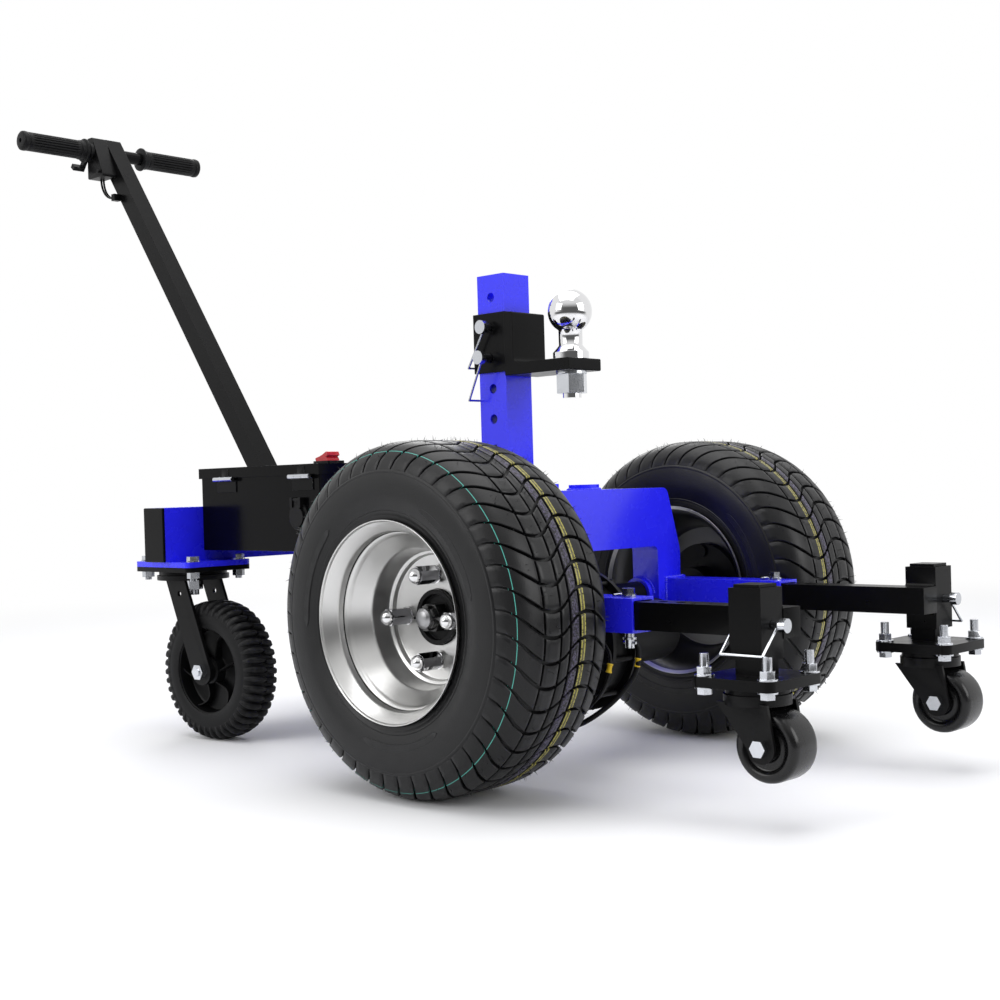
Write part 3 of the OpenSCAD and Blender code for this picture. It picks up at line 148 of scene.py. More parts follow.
def backgroundRays(tree):
    # 1 where a ray from the camera, a reflection or glass sees the backdrop
    rays = tree.nodes.new("ShaderNodeLightPath").outputs
    seen = mathNode(tree, "MAXIMUM", rays["Is Camera Ray"], rays["Is Glossy Ray"])
    return mathNode(tree, "MAXIMUM", seen, rays["Is Transmission Ray"])


def towardsBackdrop(tree, place, start, end):
    # from the room's shade to 1, along the camera's view
    along = (shot["ahead"][0], shot["ahead"][1], 0)
    dot = addNode(tree, "ShaderNodeVectorMath", {0: place, 1: along}, operation="DOT_PRODUCT")
    return rampNode(tree, dot.outputs["Value"], start, end, studio["roomShade"])


def pickForGlossy(tree, value):
    # the value for a reflection, and 1 for every other ray
    glossy = tree.nodes.new("ShaderNodeLightPath").outputs["Is Glossy Ray"]
    return rampNode(tree, glossy, 0.0, 1.0, 1.0, value, "LINEAR")


def setWorld():
    world = bpy.data.worlds.new("studioWorld")
    bpy.context.scene.world = world
    world.use_nodes = True
    tree = world.node_tree
    tree.nodes.clear()
    place = tree.nodes.new("ShaderNodeTexCoord").outputs["Generated"]
    axes = addNode(tree, "ShaderNodeSeparateXYZ", {0: place})
    roof = rampNode(tree, axes.outputs["Z"], *studio["roofRamp"])
    room = mathNode(tree, "MAXIMUM", roof, towardsBackdrop(tree, place, *studio["backdropRamp"]))
    light = addNode(tree, "ShaderNodeBackground",
                    {"Color": studio["worldColour"], "Strength": studio["worldStrength"]})
    seen = addNode(tree, "ShaderNodeBackground", {"Color": (1, 1, 1), "Strength": pickForGlossy(tree, room)})
    mix = addNode(tree, "ShaderNodeMixShader",
                  {0: backgroundRays(tree), 1: light.outputs[0], 2: seen.outputs[0]})
    addNode(tree, "ShaderNodeOutputWorld", {0: mix.outputs[0]})


def setFloor():
    mesh = bpy.data.meshes.new("floor")
    mesh.from_pydata([(-9, -9, 0), (9, -9, 0), (9, 9, 0), (-9, 9, 0)], [], [(0, 1, 2, 3)])
    floor = addObject("floor", mesh)
    paint = bpy.data.materials.new("studioFloor")
    paint.use_nodes = True
    tree = paint.node_tree
    shader = tree.nodes["Principled BSDF"]
    paintValues = {"Base Color": studio["floorColour"], "Roughness": 0.7, "Specular IOR Level": 0.2}
    setInputs(tree, shader, paintValues)
    place = objectPlace(tree)
    shade = pickForGlossy(tree, towardsBackdrop(tree, place, *studio["floorRamp"]))
    glow = addNode(tree, "ShaderNodeEmission", {"Strength": shade})
    away = addNode(tree, "ShaderNodeVectorMath", {0: place}, operation="LENGTH")
    far = rampNode(tree, away.outputs["Value"], *studio["floorFade"])
    mask = times(tree, far, backgroundRays(tree))
    mix = addNode(tree, "ShaderNodeMixShader", {0: mask, 1: shader.outputs[0], 2: glow.outputs[0]})
    setInputs(tree, tree.nodes["Material Output"], {0: mix.outputs[0]})
    mesh.materials.append(paint)


bpy.context.scene.view_settings.view_transform = "Standard"
setCamera()
setLamps()
setWorld()
setFloor()
print("camera, lamps and floor set")


# ---- shared surface effects, as shader node groups ----
def newGroup(name, inputs, outputs, kind="ShaderNodeTree"):
    # a node group with named inputs and outputs
    tree = bpy.data.node_groups.new(name, kind)
    for label, socketKind, value in inputs:
        socket = tree.interface.new_socket(label, in_out="INPUT", socket_type="NodeSocket" + socketKind)
        if value is not None:
            socket.default_value = value
    for label, socketKind in outputs:
        tree.interface.new_socket(label, in_out="OUTPUT", socket_type="NodeSocket" + socketKind)
    return tree, tree.nodes.new("NodeGroupInput").outputs, tree.nodes.new("NodeGroupOutput")


def mixColour(tree, mask, a, b):
    return addNode(tree, "ShaderNodeMix", {0: mask, 6: a, 7: b}, data_type="RGBA").outputs[2]


def noiseNode(tree, place, scale, detail):
    inputs = {"Vector": place, "Scale": scale, "Detail": detail}
    return addNode(tree, "ShaderNodeTexNoise", inputs).outputs[0]


def patchNode(tree, place, scale, detail, offset, factor):
    # noise less an offset, times a factor, held between 0 and 1
    noise = noiseNode(tree, place, scale, detail)
    return mathNode(tree, "MULTIPLY", less(tree, noise, offset), factor, True)


effects = {
    "fineDetail": 2.0,
    "shadePatch": (14.0, 5.0, 0.35, 2.2),  # noise scale and detail, offset, factor
    "smear": (55.0, 3.0),  # change in gloss: noise scale and detail
    "wearPatch": (120.0, 4.0, 0.4, 4.0),
    "wearEdge": (0.54, 0.62),  # pointiness where the wear and painted highlight begin and where they are full
    "reliefDepth": 0.0004,
    "coatRoughness": 0.12,
    "metalMirror": 0.5,
    "plainMirror": 0.14,
}


def buildGrain():
    # fine surface grain with a broad drift in shade and gloss
    tree, given, out = newGroup(
        "surfaceGrain",
        [("Colour", "Color", (0.5, 0.5, 0.5, 1)), ("Mottle", "Float", 0.1), ("Grain Scale", "Float", 900.0),
         ("Roughness", "Float", 0.4), ("Gloss Drift", "Float", 0.1)],
        [("Colour", "Color"), ("Roughness", "Float"), ("Height", "Float")],
    )
    place = objectPlace(tree)
    shade = patchNode(tree, place, *effects["shadePatch"])
    keep = less(tree, 1.0, given["Mottle"])
    dark = addNode(tree, "ShaderNodeVectorMath", {0: given["Colour"], "Scale": keep}, operation="SCALE")
    smear = less(tree, noiseNode(tree, place, *effects["smear"]), 0.5)
    drift = times(tree, smear, given["Gloss Drift"])
    setInputs(tree, out, {
        "Colour": mixColour(tree, shade, dark.outputs[0], given["Colour"]),
        "Roughness": mathNode(tree, "ADD", given["Roughness"], drift, True),
        "Height": noiseNode(tree, place, given["Grain Scale"], effects["fineDetail"]),
    })
    return tree


def buildEdgeWearAndHighlight():
    # a thin broken line of paler colour along the edges, part wear and part painted highlight
    tree, given, out = newGroup(
        "edgeWearAndHighlight",
        [("Colour", "Color", (0.5, 0.5, 0.5, 1)), ("Edge Colour", "Color", (0.7, 0.7, 0.7, 1)),
         ("Amount", "Float", 0.3)],
        [("Colour", "Color")],
    )
    place = objectPlace(tree)
    point = tree.nodes.new("ShaderNodeNewGeometry").outputs["Pointiness"]
    edge = rampNode(tree, point, *effects["wearEdge"], kind="LINEAR")
    patch = patchNode(tree, place, *effects["wearPatch"])
    mask = mathNode(tree, "MULTIPLY", times(tree, edge, patch), given["Amount"], True)
    setInputs(tree, out, {0: mixColour(tree, mask, given["Colour"], given["Edge Colour"])})
    return tree


def buildBand():
    # 1 inside a band of a value, with soft sides
    tree, given, out = newGroup(
        "paintBand",
        [("Value", "Float", 0.0), ("Centre", "Float", 0.0), ("Half Width", "Float", 0.001),
         ("Softness", "Float", 0.0003)],
        [("Mask", "Float")],
    )
    away = mathNode(tree, "ABSOLUTE", less(tree, given["Value"], given["Centre"]))
    inside = less(tree, given["Half Width"], away)
    setInputs(tree, out, {0: mathNode(tree, "DIVIDE", inside, given["Softness"], True)})
    return tree


grainGroup = buildGrain()
wearAndHighlightGroup = buildEdgeWearAndHighlight()
bandGroup = buildBand()

# ---- finishes ----
finishes = {
    # colour, roughness, metallic, coat, grain scale, bump, mottle, gloss drift, slot
    "bluePaint": ((0.020, 0.020, 0.93), 0.27, 0.0, 0.30, 520, 0.08, 0.08, 0.10, "blue_paint"),
    "blackPaint": ((0.0032, 0.0032, 0.0034), 0.30, 0.0, 0.05, 760, 0.16, 0.25, 0.14, "black_paint"),
    "satinBlack": ((0.0042, 0.0042, 0.0045), 0.40, 0.0, 0.03, 900, 0.26, 0.25, 0.12, "black_paint"),
    "chrome": ((0.78, 0.78, 0.79), 0.05, 1.0, 0.0, 300, 0.01, 0.05, 0.03, "chrome"),
    # a darker copy of chrome: painted shade on the nuts' flanks
    "chromeWithPaintedShade": ((0.20, 0.20, 0.21), 0.06, 1.0, 0.0, 300, 0.01, 0.05, 0.03, "chrome"),
    "brightZinc": ((0.66, 0.68, 0.72), 0.20, 1.0, 0.0, 620, 0.10, 0.22, 0.14, "zinc"),
    "bareSteel": ((0.42, 0.42, 0.43), 0.36, 1.0, 0.0, 420, 0.25, 0.30, 0.2, "steel"),
    "copperWinding": ((0.55, 0.20, 0.07), 0.35, 1.0, 0.0, 900, 0.4, 0.3, 0.15, "steel"),
    "silverPaint": ((0.64, 0.638, 0.63), 0.30, 1.0, 0.0, 1500, 0.06, 0.05, 0.05, "silver_paint"),
    # dark steel for the nut centres, and painted shade on the silver rim's inside
    "darkSteelAndRimShade": ((0.11, 0.11, 0.11), 0.36, 1.0, 0.0, 900, 0.15, 0.20, 0.10, "silver_paint"),
    "tyreRubber": ((0.0066, 0.0066, 0.0073), 0.40, 0.0, 0.0, 640, 0.35, 0.28, 0.22, "tyre_rubber"),
    "treadRubber": ((0.0066, 0.0066, 0.0073), 0.40, 0.0, 0.0, 640, 0.35, 0.28, 0.22, "tyre_rubber"),
    "frontTread": ((0.0048, 0.0048, 0.0052), 0.28, 0.0, 0.12, 500, 0.10, 0.25, 0.14, "caster_rubber"),
    "rearTread": ((0.0100, 0.0100, 0.0106), 0.48, 0.0, 0.0, 700, 0.35, 0.30, 0.14, "caster_rubber"),
    "gripRubber": ((0.0060, 0.0060, 0.0064), 0.42, 0.0, 0.0, 1100, 0.30, 0.25, 0.12, "grip_rubber"),
    "boxPlastic": ((0.0018, 0.0018, 0.0021), 0.18, 0.0, 0.05, 260, 0.05, 0.20, 0.08, "box_plastic"),
    "blackPlastic": ((0.0055, 0.0055, 0.0058), 0.38, 0.0, 0.0, 900, 0.25, 0.25, 0.12, "black_plastic"),
    "connectorYellow": ((0.62, 0.42, 0.02), 0.35, 0.0, 0.1, 900, 0.05, 0.10, 0.06, "black_plastic"),
    "redPlastic": ((0.55, 0.012, 0.02), 0.26, 0.0, 0.2, 800, 0.05, 0.10, 0.06, "red_plastic"),
    "batteryPlastic": ((0.035, 0.038, 0.045), 0.50, 0.0, 0.0, 800, 0.25, 0.20, 0.10, "battery_plastic"),
    "controllerMetal": ((0.55, 0.56, 0.58), 0.42, 1.0, 0.0, 700, 0.2, 0.15, 0.1, "controller_metal"),
}
edgeWearAndHighlight = {  # colour and amount of the paler edges: wear and painted highlight
    "tyreRubber": ((0.045, 0.045, 0.048), 0.6),
    "treadRubber": ((0.045, 0.045, 0.048), 0.6),
    "frontTread": ((0.03, 0.03, 0.03), 0.3),
    "rearTread": ((0.06, 0.06, 0.06), 0.5),
    "gripRubber": ((0.04, 0.04, 0.04), 0.4),
    "copperWinding": ((0.9, 0.5, 0.3), 0.2),
    "connectorYellow": ((0.8, 0.6, 0.1), 0.3),
}
mirrorLevel = {  # of paints, plastics and rubbers; the others have the plain one
    "bluePaint": 0.45, "redPlastic": 0.5, "frontTread": 0.3, "tyreRubber": 0.3, "treadRubber": 0.3,
    "boxPlastic": 0.06, "blackPaint": 0.08,
}


def makeFinish(name):
    colour, rough, metal, coat, scale, bump, mottle, drift, _ = finishes[name]
    made = bpy.data.materials.new(name)
    made.use_nodes = True
    tree = made.node_tree
    grain = addNode(tree, "ShaderNodeGroup", {}, node_tree=grainGroup)
    setInputs(tree, grain, {
        "Colour": colour, "Mottle": mottle, "Grain Scale": scale, "Roughness": rough, "Gloss Drift": drift,
    })
    shade = grain.outputs["Colour"]
    # paler edges: wear, and a painted highlight along the edges
    if name in edgeWearAndHighlight:
        edgeColour, amount = edgeWearAndHighlight[name]
        inputs = {"Colour": shade, "Edge Colour": edgeColour, "Amount": amount}
        shade = addNode(tree, "ShaderNodeGroup", inputs, node_tree=wearAndHighlightGroup).outputs["Colour"]
    relief = addNode(tree, "ShaderNodeBump", {
        "Strength": bump, "Distance": effects["reliefDepth"], "Height": grain.outputs["Height"]})
    mirror = effects["metalMirror"] if metal else mirrorLevel.get(name, effects["plainMirror"])
    setInputs(tree, tree.nodes["Principled BSDF"], {
        "Metallic": metal, "Coat Weight": coat, "Coat Roughness": effects["coatRoughness"],
        "Specular IOR Level": mirror,
        "Base Color": shade, "Roughness": grain.outputs["Roughness"], "Normal": relief.outputs[0],
    })
    return made


finish = {name: makeFinish(name) for name in finishes}
tyreMarks = {
    "teal": (0.10, 0.50, 0.42),
    "yellow": (0.47, 0.43, 0.09),
    "tan": (0.16, 0.14, 0.06),
    "violet": (0.115, 0.10, 0.17),
    "middle": 0.2685,  # from the middle of the dolly to the middle of the tyre
    "axleHeight": 0.209,
    "topRadius": 0.2068,  # the violet, tan and yellow marks are on the tops of the blocks only
    "broken": (420.0, 3.0, 0.42, 5.0),  # noise scale and detail, offset, factor
    "worn": (420.0, 3.0, 0.33, 6.0),
    "bands": (  # paint, place outward of the middle, half width, soft edge, strength
        ("teal", 0.0722, 0.0004, 0.0003, 0.85),
        ("violet", -0.0074, 0.0060, 0.0022, 0.75),
        ("tan", -0.0207, 0.0036, 0.0012, 0.75),
        ("yellow", -0.0183, 0.0010, 0.0005, 0.9),
        ("yellow", -0.0231, 0.0010, 0.0005, 0.9),
    ),
}


def paintTyreMarks(tree):
    # thin painted bands round the tread, broken and worn on the blocks
    shader = tree.nodes["Principled BSDF"]
    place = objectPlace(tree)
    axes = addNode(tree, "ShaderNodeSeparateXYZ", {0: place}).outputs
    outward = less(tree, mathNode(tree, "ABSOLUTE", axes["Y"]), tyreMarks["middle"])
    ahead = less(tree, axes["X"], axleX)
    above = less(tree, axes["Z"], tyreMarks["axleHeight"])
    square = mathNode(tree, "ADD", times(tree, ahead, ahead),
                      times(tree, above, above))
    onTop = mathNode(tree, "GREATER_THAN", square, tyreMarks["topRadius"] ** 2)
    worn = times(tree, patchNode(tree, place, *tyreMarks["worn"]), onTop)
    broken = times(tree, patchNode(tree, place, *tyreMarks["broken"]), onTop)
    cover = {"teal": 1.0, "violet": broken, "tan": worn, "yellow": worn}
    colour = shader.inputs["Base Color"].links[0].from_socket
    for paint, centre, half, soft, strength in tyreMarks["bands"]:
        inputs = {"Value": outward, "Centre": centre, "Half Width": half, "Softness": soft}
        band = addNode(tree, "ShaderNodeGroup", inputs, node_tree=bandGroup).outputs[0]
        mask = times(tree, times(tree, band, cover[paint]), strength)
        colour = mixColour(tree, mask, colour, tyreMarks[paint])
    setInputs(tree, shader, {"Base Color": colour})


paintTyreMarks(finish["treadRubber"].node_tree)
print("finishes made:", len(finish))


# ---- helpers for pieces ----
def addPiece(name, mesh, finishName, body, replaced=(), sharp=35):
    # puts a finished mesh on its body
    piece = addObject(name, mesh)
    if not mesh.materials:
        mesh.materials.append(finish[finishName])
    mesh.shade_smooth()
    mesh.set_sharp_from_angle(angle=radians(sharp))
    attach(piece, body)
    if replaced:
        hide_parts(*replaced)
    return piece


def roundEdges(piece, width, segments=2, angle=40):
    edge = piece.modifiers.new("roundedEdges", "BEVEL")
    edge.width = width / 1000
    edge.segments = segments
    edge.limit_method = "ANGLE"
    edge.angle_limit = radians(angle)
    edge.harden_normals = True


def toRow(verts):
    # millimetres about the drive axle to metres in the row frame
    return [(x / 1000 + axleX, y / 1000, z / 1000) for x, y, z in verts]


def meshFrom(name, verts, faces):
    # a mesh with its doubles merged and its faces outward
    mesh = bpy.data.meshes.new(name)
    mesh.from_pydata(verts, [], faces)
    tidy = bmesh.new()
    tidy.from_mesh(mesh)
    bmesh.ops.remove_doubles(tidy, verts=tidy.verts, dist=1e-5)
    bmesh.ops.recalc_face_normals(tidy, faces=tidy.faces)
    tidy.to_mesh(mesh)
    tidy.free()
    return mesh


def dressNode(name, finishName, width):
    # a merged copy of a CAD node with rounded edges and its finish
    mesh = nodes[name].data.copy()
    mesh.name = name + "Dressed"
    mesh.materials.clear()
    tidy = bmesh.new()
    tidy.from_mesh(mesh)
    bmesh.ops.remove_doubles(tidy, verts=tidy.verts, dist=2e-5)
    bmesh.ops.dissolve_limit(tidy, angle_limit=radians(0.4), verts=tidy.verts, edges=tidy.edges)
    tidy.to_mesh(mesh)
    tidy.free()
    piece = addPiece(name + "Dressed", mesh, finishName, bodyOf[name], (name,))
    if width:
        roundEdges(piece, width)
    return piece


def growTree(name, inputs):
    # a Geometry Nodes tree that takes a mesh, its named inputs and a finish
    inputs = [("Geometry", "Geometry", None), *inputs, ("Finish", "Material", None)]
    return newGroup(name, inputs, [("Geometry", "Geometry")], "GeometryNodeTree")


def endTree(tree, given, out, shaped):
    # instances made real, with the finish set
    real = addNode(tree, "GeometryNodeRealizeInstances", {0: shaped}).outputs[0]
    coat = addNode(tree, "GeometryNodeSetMaterial", {"Geometry": real, "Material": given["Finish"]})
    setInputs(tree, out, {0: coat.outputs[0]})
    return tree


def ringTree():
    # copies of a piece turned about an axis
    tree, given, out = growTree("ringOfCopies", [
        ("Copies", "Int", 12), ("Axis", "Vector", (0.0, 1.0, 0.0)), ("Centre", "Vector", (0.0, 0.0, 0.0))])
    index = tree.nodes.new("GeometryNodeInputIndex").outputs[0]
    angle = times(tree, index, mathNode(tree, "DIVIDE", 2 * pi, given["Copies"]))
    line = addNode(tree, "GeometryNodeMeshLine", {"Count": given["Copies"], "Offset": (0, 0, 0)})
    turn = addNode(tree, "FunctionNodeAxisAngleToRotation", {"Axis": given["Axis"], "Angle": angle})
    place = addNode(tree, "GeometryNodeInstanceOnPoints", {
        "Points": line.outputs[0], "Instance": given["Geometry"], "Rotation": turn.outputs[0]})
    back = addNode(tree, "GeometryNodeTransform",
                   {"Geometry": place.outputs[0], "Translation": given["Centre"]})
    return endTree(tree, given, out, back.outputs[0])


copyRing = ringTree()


def runTree(mesh, tree, name, **values):
    # runs a Geometry Nodes tree on a mesh and returns the plain result
    carrier = addObject(name + "Carrier", mesh)
    grow = carrier.modifiers.new("grow", "NODES")
    grow.node_group = tree
    for item in tree.interface.items_tree:
        if item.in_out == "INPUT" and item.name.replace(" ", "") in values:
            grow[item.identifier] = values[item.name.replace(" ", "")]
    bpy.context.view_layer.update()
    shaped = bpy.data.meshes.new_from_object(carrier.evaluated_get(bpy.context.evaluated_depsgraph_get()))
    bpy.data.objects.remove(carrier)
    shaped.name = name
    return shaped


def between(table, x):
    # a value read from a table of pairs, straight between them
    for (x0, y0), (x1, y1) in zip(table, table[1:]):
        if x <= x1:
            return y0 + (y1 - y0) * max(0.0, (x - x0) / (x1 - x0))
    return table[-1][1]


def smoothPath(points, steps=6):
    # a soft line through the given points
    path = []
    for i in range(len(points) - 1):
        p0, p1 = points[max(i - 1, 0)], points[i]
        p2, p3 = points[i + 1], points[min(i + 2, len(points) - 1)]
        for k in range(steps):
            t = k / steps
            path.append(tuple(
                b + 0.5 * t * (c - a + (2 * a - 5 * b + 4 * c - d) * t + (3 * b - a - 3 * c + d) * t * t)
                for a, b, c, d in zip(p0, p1, p2, p3)))
    return path + [tuple(points[-1])]


def bridge(a, b, count, closed=True):
    # quads between two rows of points that start at a and b
    last = count if closed else count - 1
    return [(a + k, a + (k + 1) % count, b + (k + 1) % count, b + k) for k in range(last)]


def mirrored(half):
    # half a section, radius and outward place, and its other half
    return half + [(r, -q) for r, q in reversed(half) if q]


def lathe(path, steps):
    # a ring of revolution about the wheel axis: radius and outward place
    turns = [2 * pi * i / steps for i in range(steps)]
    verts = [(r * cos(turn), q, r * sin(turn)) for turn in turns for r, q in path]
    n = len(path)
    return verts, [face for i in range(steps) for face in bridge(i * n, (i + 1) % steps * n, n)]


def atWheel(verts, side):
    # wheel axis +q points outward on both sides; the left wheel is the right one turned half round
    middle, height = tyreMarks["middle"] * 1000, tyreMarks["axleHeight"] * 1000
    return toRow([(-side * x, side * (middle + q), z + height) for x, q, z in verts])


def jointPlace(name):
    joint = next(j for j in frame["joints"] if j["name"] == name)
    return Vector(joint["pos_m"]), Vector(joint["axis"]).normalized()


def atJoint(verts, name):
    # local wheel points in millimetres put on a joint, with its axis as the second one
    centre, axis = jointPlace(name)
    up = Vector((0, 0, 1))
    ahead = axis.cross(up)
    return [tuple(centre + (ahead * x + axis * q + up * z) / 1000) for x, q, z in verts]


def joinMeshes(name, meshes):
    tidy = bmesh.new()
    for mesh in meshes:
        tidy.from_mesh(mesh)
    for face in tidy.faces:
        face.material_index = 0
    joined = bpy.data.meshes.new(name)
    tidy.to_mesh(joined)
    tidy.free()
    return joined


def paintFaces(piece, finishName, test):
    # gives a second finish to the faces whose middle, in millimetres about the axle, passes the test
    piece.data.materials.append(finish[finishName])
    index = len(piece.data.materials) - 1
    for face in piece.data.polygons:
        c = face.center
        if test((c.x - axleX) * 1000, c.y * 1000, c.z * 1000):
            face.material_index = index


# ---- CAD nodes that keep their shape: rounded edges and a finish ----
dressing = {  # finish: nodes, each with its rounded edge in mm
    "bluePaint": {"front_bridge": 1.6, "frame_rails": 1.5, "rear_beam": 1.2, "hitch_post": 1.5,
                  "arm_receivers": 1.5},
    "blackPaint": {"handle_socket": 1.0, "beam_caps": 1.5, "ball_bracket": 1.4, "handle_tube": 2.4,
                   "rear_caster_plates": 0.8, "arm_left": 1.4, "arm_right": 1.4, "leg_left": 1.4,
                   "leg_right": 1.4},
    "satinBlack": {"gear_case": 1.0, "motor_case": 1.0, "rear_fork_left": 0.7, "rear_fork_right": 0.7,
                   "front_fork_left": 0.8, "front_fork_right": 0.8, "hub_left": 0.8, "hub_right": 0.8,
                   "case_bolts": 0.4},
    "chrome": {"hitch_ball": 0.0, "wheel_nuts_left": 0.4, "wheel_nuts_right": 0.4},
    "brightZinc": {"ball_nut": 0.5, "upper_post_pin": 0.4, "lower_post_pin": 0.4, "arm_pins": 0.4,
                   "frame_bolts": 0.4, "lid_hinges": 0.3, "front_bolts_left": 0.4,
                   "front_bolts_right": 0.4, "leg_pin_left": 0.4, "leg_pin_right": 0.4},
    "copperWinding": {"armature": 0.4},
    "bareSteel": {"ring_gear": 0.4, "axle_shaft_left": 0.5, "axle_shaft_right": 0.5},
    "blackPlastic": {"handle_cable": 0.0, "switch_surround": 1.0, "charge_port": 0.6, "charge_cap": 0.5,
                     "throttle_box": 2.0, "throttle_lever": 0.8},
    "boxPlastic": {"battery_box": 1.2, "battery_lid": 1.6},
    "redPlastic": {"rocker": 0.8},
    "batteryPlastic": {"batteries": 2.0},
    "controllerMetal": {"controller": 0.5},
}
dressed = {name: dressNode(name, look, width)
           for look, widths in dressing.items() for name, width in widths.items()}
second = {  # where a piece's second finish starts, in mm about the drive axle
    "nutCentre": (209, 27),
    "nutFlank": 0.2,
    "studs": 262,
    "boltRadius": 14,
    "forkReach": {"rear": 36.3, "front": 29.3},
    "plateNut": (612, 195, 15.5, 235.5),
    "lidLatch": -197,
    "hingeLeaf": -195.2,
}


def onAxleBolt(joint, reach):
    # the test for the ends of a fork's axle bolt
    centre, axis = jointPlace(joint)
    middle = Vector(((centre.x - axleX) * 1000, centre.y * 1000, centre.z * 1000))

    def test(x, y, z):
        away = Vector((x, y, z)) - middle
        along = away.dot(axis)
        return abs(along) > reach and (away - axis * along).length < second["boltRadius"]
    return test


def onPlateNut(x, y, z):
    ahead, out, radius, top = second["plateNut"]
    return hypot(x + ahead, abs(y) - out) < radius and z < top


def onNutCentre(x, y, z):
    height, radius = second["nutCentre"]
    return hypot(x, z - height) < radius


for sideName, _ in sides:
    nuts = dressed["wheel_nuts_" + sideName]
    # the nut centres are dark steel
    paintFaces(nuts, "darkSteelAndRimShade", onNutCentre)
    # the nuts' flanks get the darker chrome as painted shade, for the dark room they reflect
    nuts.data.materials.append(finish["chromeWithPaintedShade"])
    for face in nuts.data.polygons:
        if face.material_index == 0 and abs(face.normal.y) < second["nutFlank"]:
            face.material_index = len(nuts.data.materials) - 1
    # the stud ends inboard of the rim are painted black as shade
    paintFaces(nuts, "satinBlack", lambda x, y, z: abs(y) < second["studs"])
    for end, reach in second["forkReach"].items():
        test = onAxleBolt(end + "_roller_" + sideName + "_spin", reach)
        paintFaces(dressed[end + "_fork_" + sideName], "brightZinc", test)
paintFaces(dressed["rear_caster_plates"], "brightZinc", onPlateNut)
paintFaces(dressed["battery_lid"], "brightZinc", lambda x, y, z: y < second["lidLatch"])
paintFaces(dressed["lid_hinges"], "blackPaint", lambda x, y, z: y > second["hingeLeaf"])
print("CAD nodes dressed:", len(dressed))

# ---- weld beads and the motor's wires ----
weldBead = {"step": 2.5, "radius": 2.5, "squash": 0.75, "least": 0.88, "most": 1.12}


def beadTree():
    # overlapping drops along a line
    tree, given, out = growTree("weldBead", [
        ("Step", "Float", 0.0025), ("Radius", "Float", 0.0025), ("Squash", "Float", 0.75),
        ("Seed", "Int", 5)])
    line = addNode(tree, "GeometryNodeMeshToCurve", {"Mesh": given["Geometry"]}).outputs[0]
    even = addNode(tree, "GeometryNodeResampleCurve", {"Curve": line, "Length": given["Step"]}, mode="LENGTH")
    drop = addNode(tree, "GeometryNodeMeshUVSphere", {"Segments": 8, "Rings": 6, "Radius": given["Radius"]})
    along = tree.nodes.new("GeometryNodeInputTangent").outputs[0]
    turn = addNode(tree, "FunctionNodeAlignRotationToVector", {"Vector": along})
    flat = addNode(tree, "ShaderNodeCombineXYZ", {0: 1, 1: 1, 2: given["Squash"]}).outputs[0]
    sizes = {2: weldBead["least"], 3: weldBead["most"], "Seed": given["Seed"]}
    size = addNode(tree, "FunctionNodeRandomValue", sizes).outputs[1]
    scale = addNode(tree, "ShaderNodeVectorMath", {0: flat, "Scale": size}, operation="SCALE")
    place = addNode(tree, "GeometryNodeInstanceOnPoints", {
        "Points": even.outputs[0], "Instance": drop.outputs[0], "Rotation": turn.outputs[0],
        "Scale": scale.outputs[0]})
    return endTree(tree, given, out, place.outputs[0])


growBeads = beadTree()


def arcPath(centre, radius, axis, start=0, end=360, steps=48):
    # points of an arc about the y or z axis
    path = []
    for i in range(steps + 1):
        turn = radians(start + (end - start) * i / steps)
        a, b = radius * cos(turn), radius * sin(turn)
        path.append((a, 0, b) if axis == "y" else (a, b, 0))
    return [tuple(c + d for c, d in zip(centre, away)) for away in path]


def squarePath(centre, half, axis):
    # points of a square across the x or z axis
    x, y, z = centre
    corners = [(-half, -half), (half, -half), (half, half), (-half, half), (-half, -half)]
    return [(x, y + a, z + b) if axis == "x" else (x + a, y + b, z) for a, b in corners]


def addBeads(name, paths, finishName):
    verts, edges = [], []
    for path in paths:
        base = len(verts)
        verts += toRow(path)
        edges += [(base + i, base + i + 1) for i in range(len(path) - 1)]
    mesh = bpy.data.meshes.new(name + "Lines")
    mesh.from_pydata(verts, edges, [])
    beads = runTree(mesh, growBeads, name, Step=weldBead["step"] / 1000, Radius=weldBead["radius"] / 1000,
                    Squash=weldBead["squash"], Finish=finish[finishName])
    addPiece(name, beads, finishName, "chassis", sharp=60)


def sweepTube(points, radii, around=12, steps=8):
    # a round tube through the given points, with a radius at each of them
    path = smoothPath([(*p, r) for p, r in zip(points, radii)], steps)
    verts, faces = [], []
    side = Vector((0, 1, 0))
    for i, (x, y, z, r) in enumerate(path):
        ahead = Vector(path[min(i + 1, len(path) - 1)][:3]) - Vector(path[max(i - 1, 0)][:3])
        ahead.normalize()
        side = (side - ahead * side.dot(ahead)).normalized()
        other = ahead.cross(side)
        for k in range(around):
            turn = 2 * pi * k / around
            verts.append(tuple(Vector((x, y, z)) + (side * cos(turn) + other * sin(turn)) * r))
        if i:
            faces += bridge((i - 1) * around, i * around, around)
    faces.append(tuple(range(around - 1, -1, -1)))
    faces.append(tuple(range(len(verts) - around, len(verts))))
    return verts, faces


blueWelds, blackWelds = [], []
for y in (-1, 1):
    blueWelds.append(arcPath((0, y * 113.5, 209), 22.5, "y", 5, 175))
    blueWelds.append(squarePath((31.5, y * 150, 210), 20.5, "x"))
    blackWelds.append(arcPath((-1115, y * 16.5, 987), 11.6, "y"))
blueWelds += [arcPath((0, 0, 353.8), 20.6, "z"), squarePath((-137, 0, 332.3), 25.6, "z")]
addBeads("frame_beads", blueWelds, "bluePaint")
addBeads("handle_beads", blackWelds, "blackPaint")

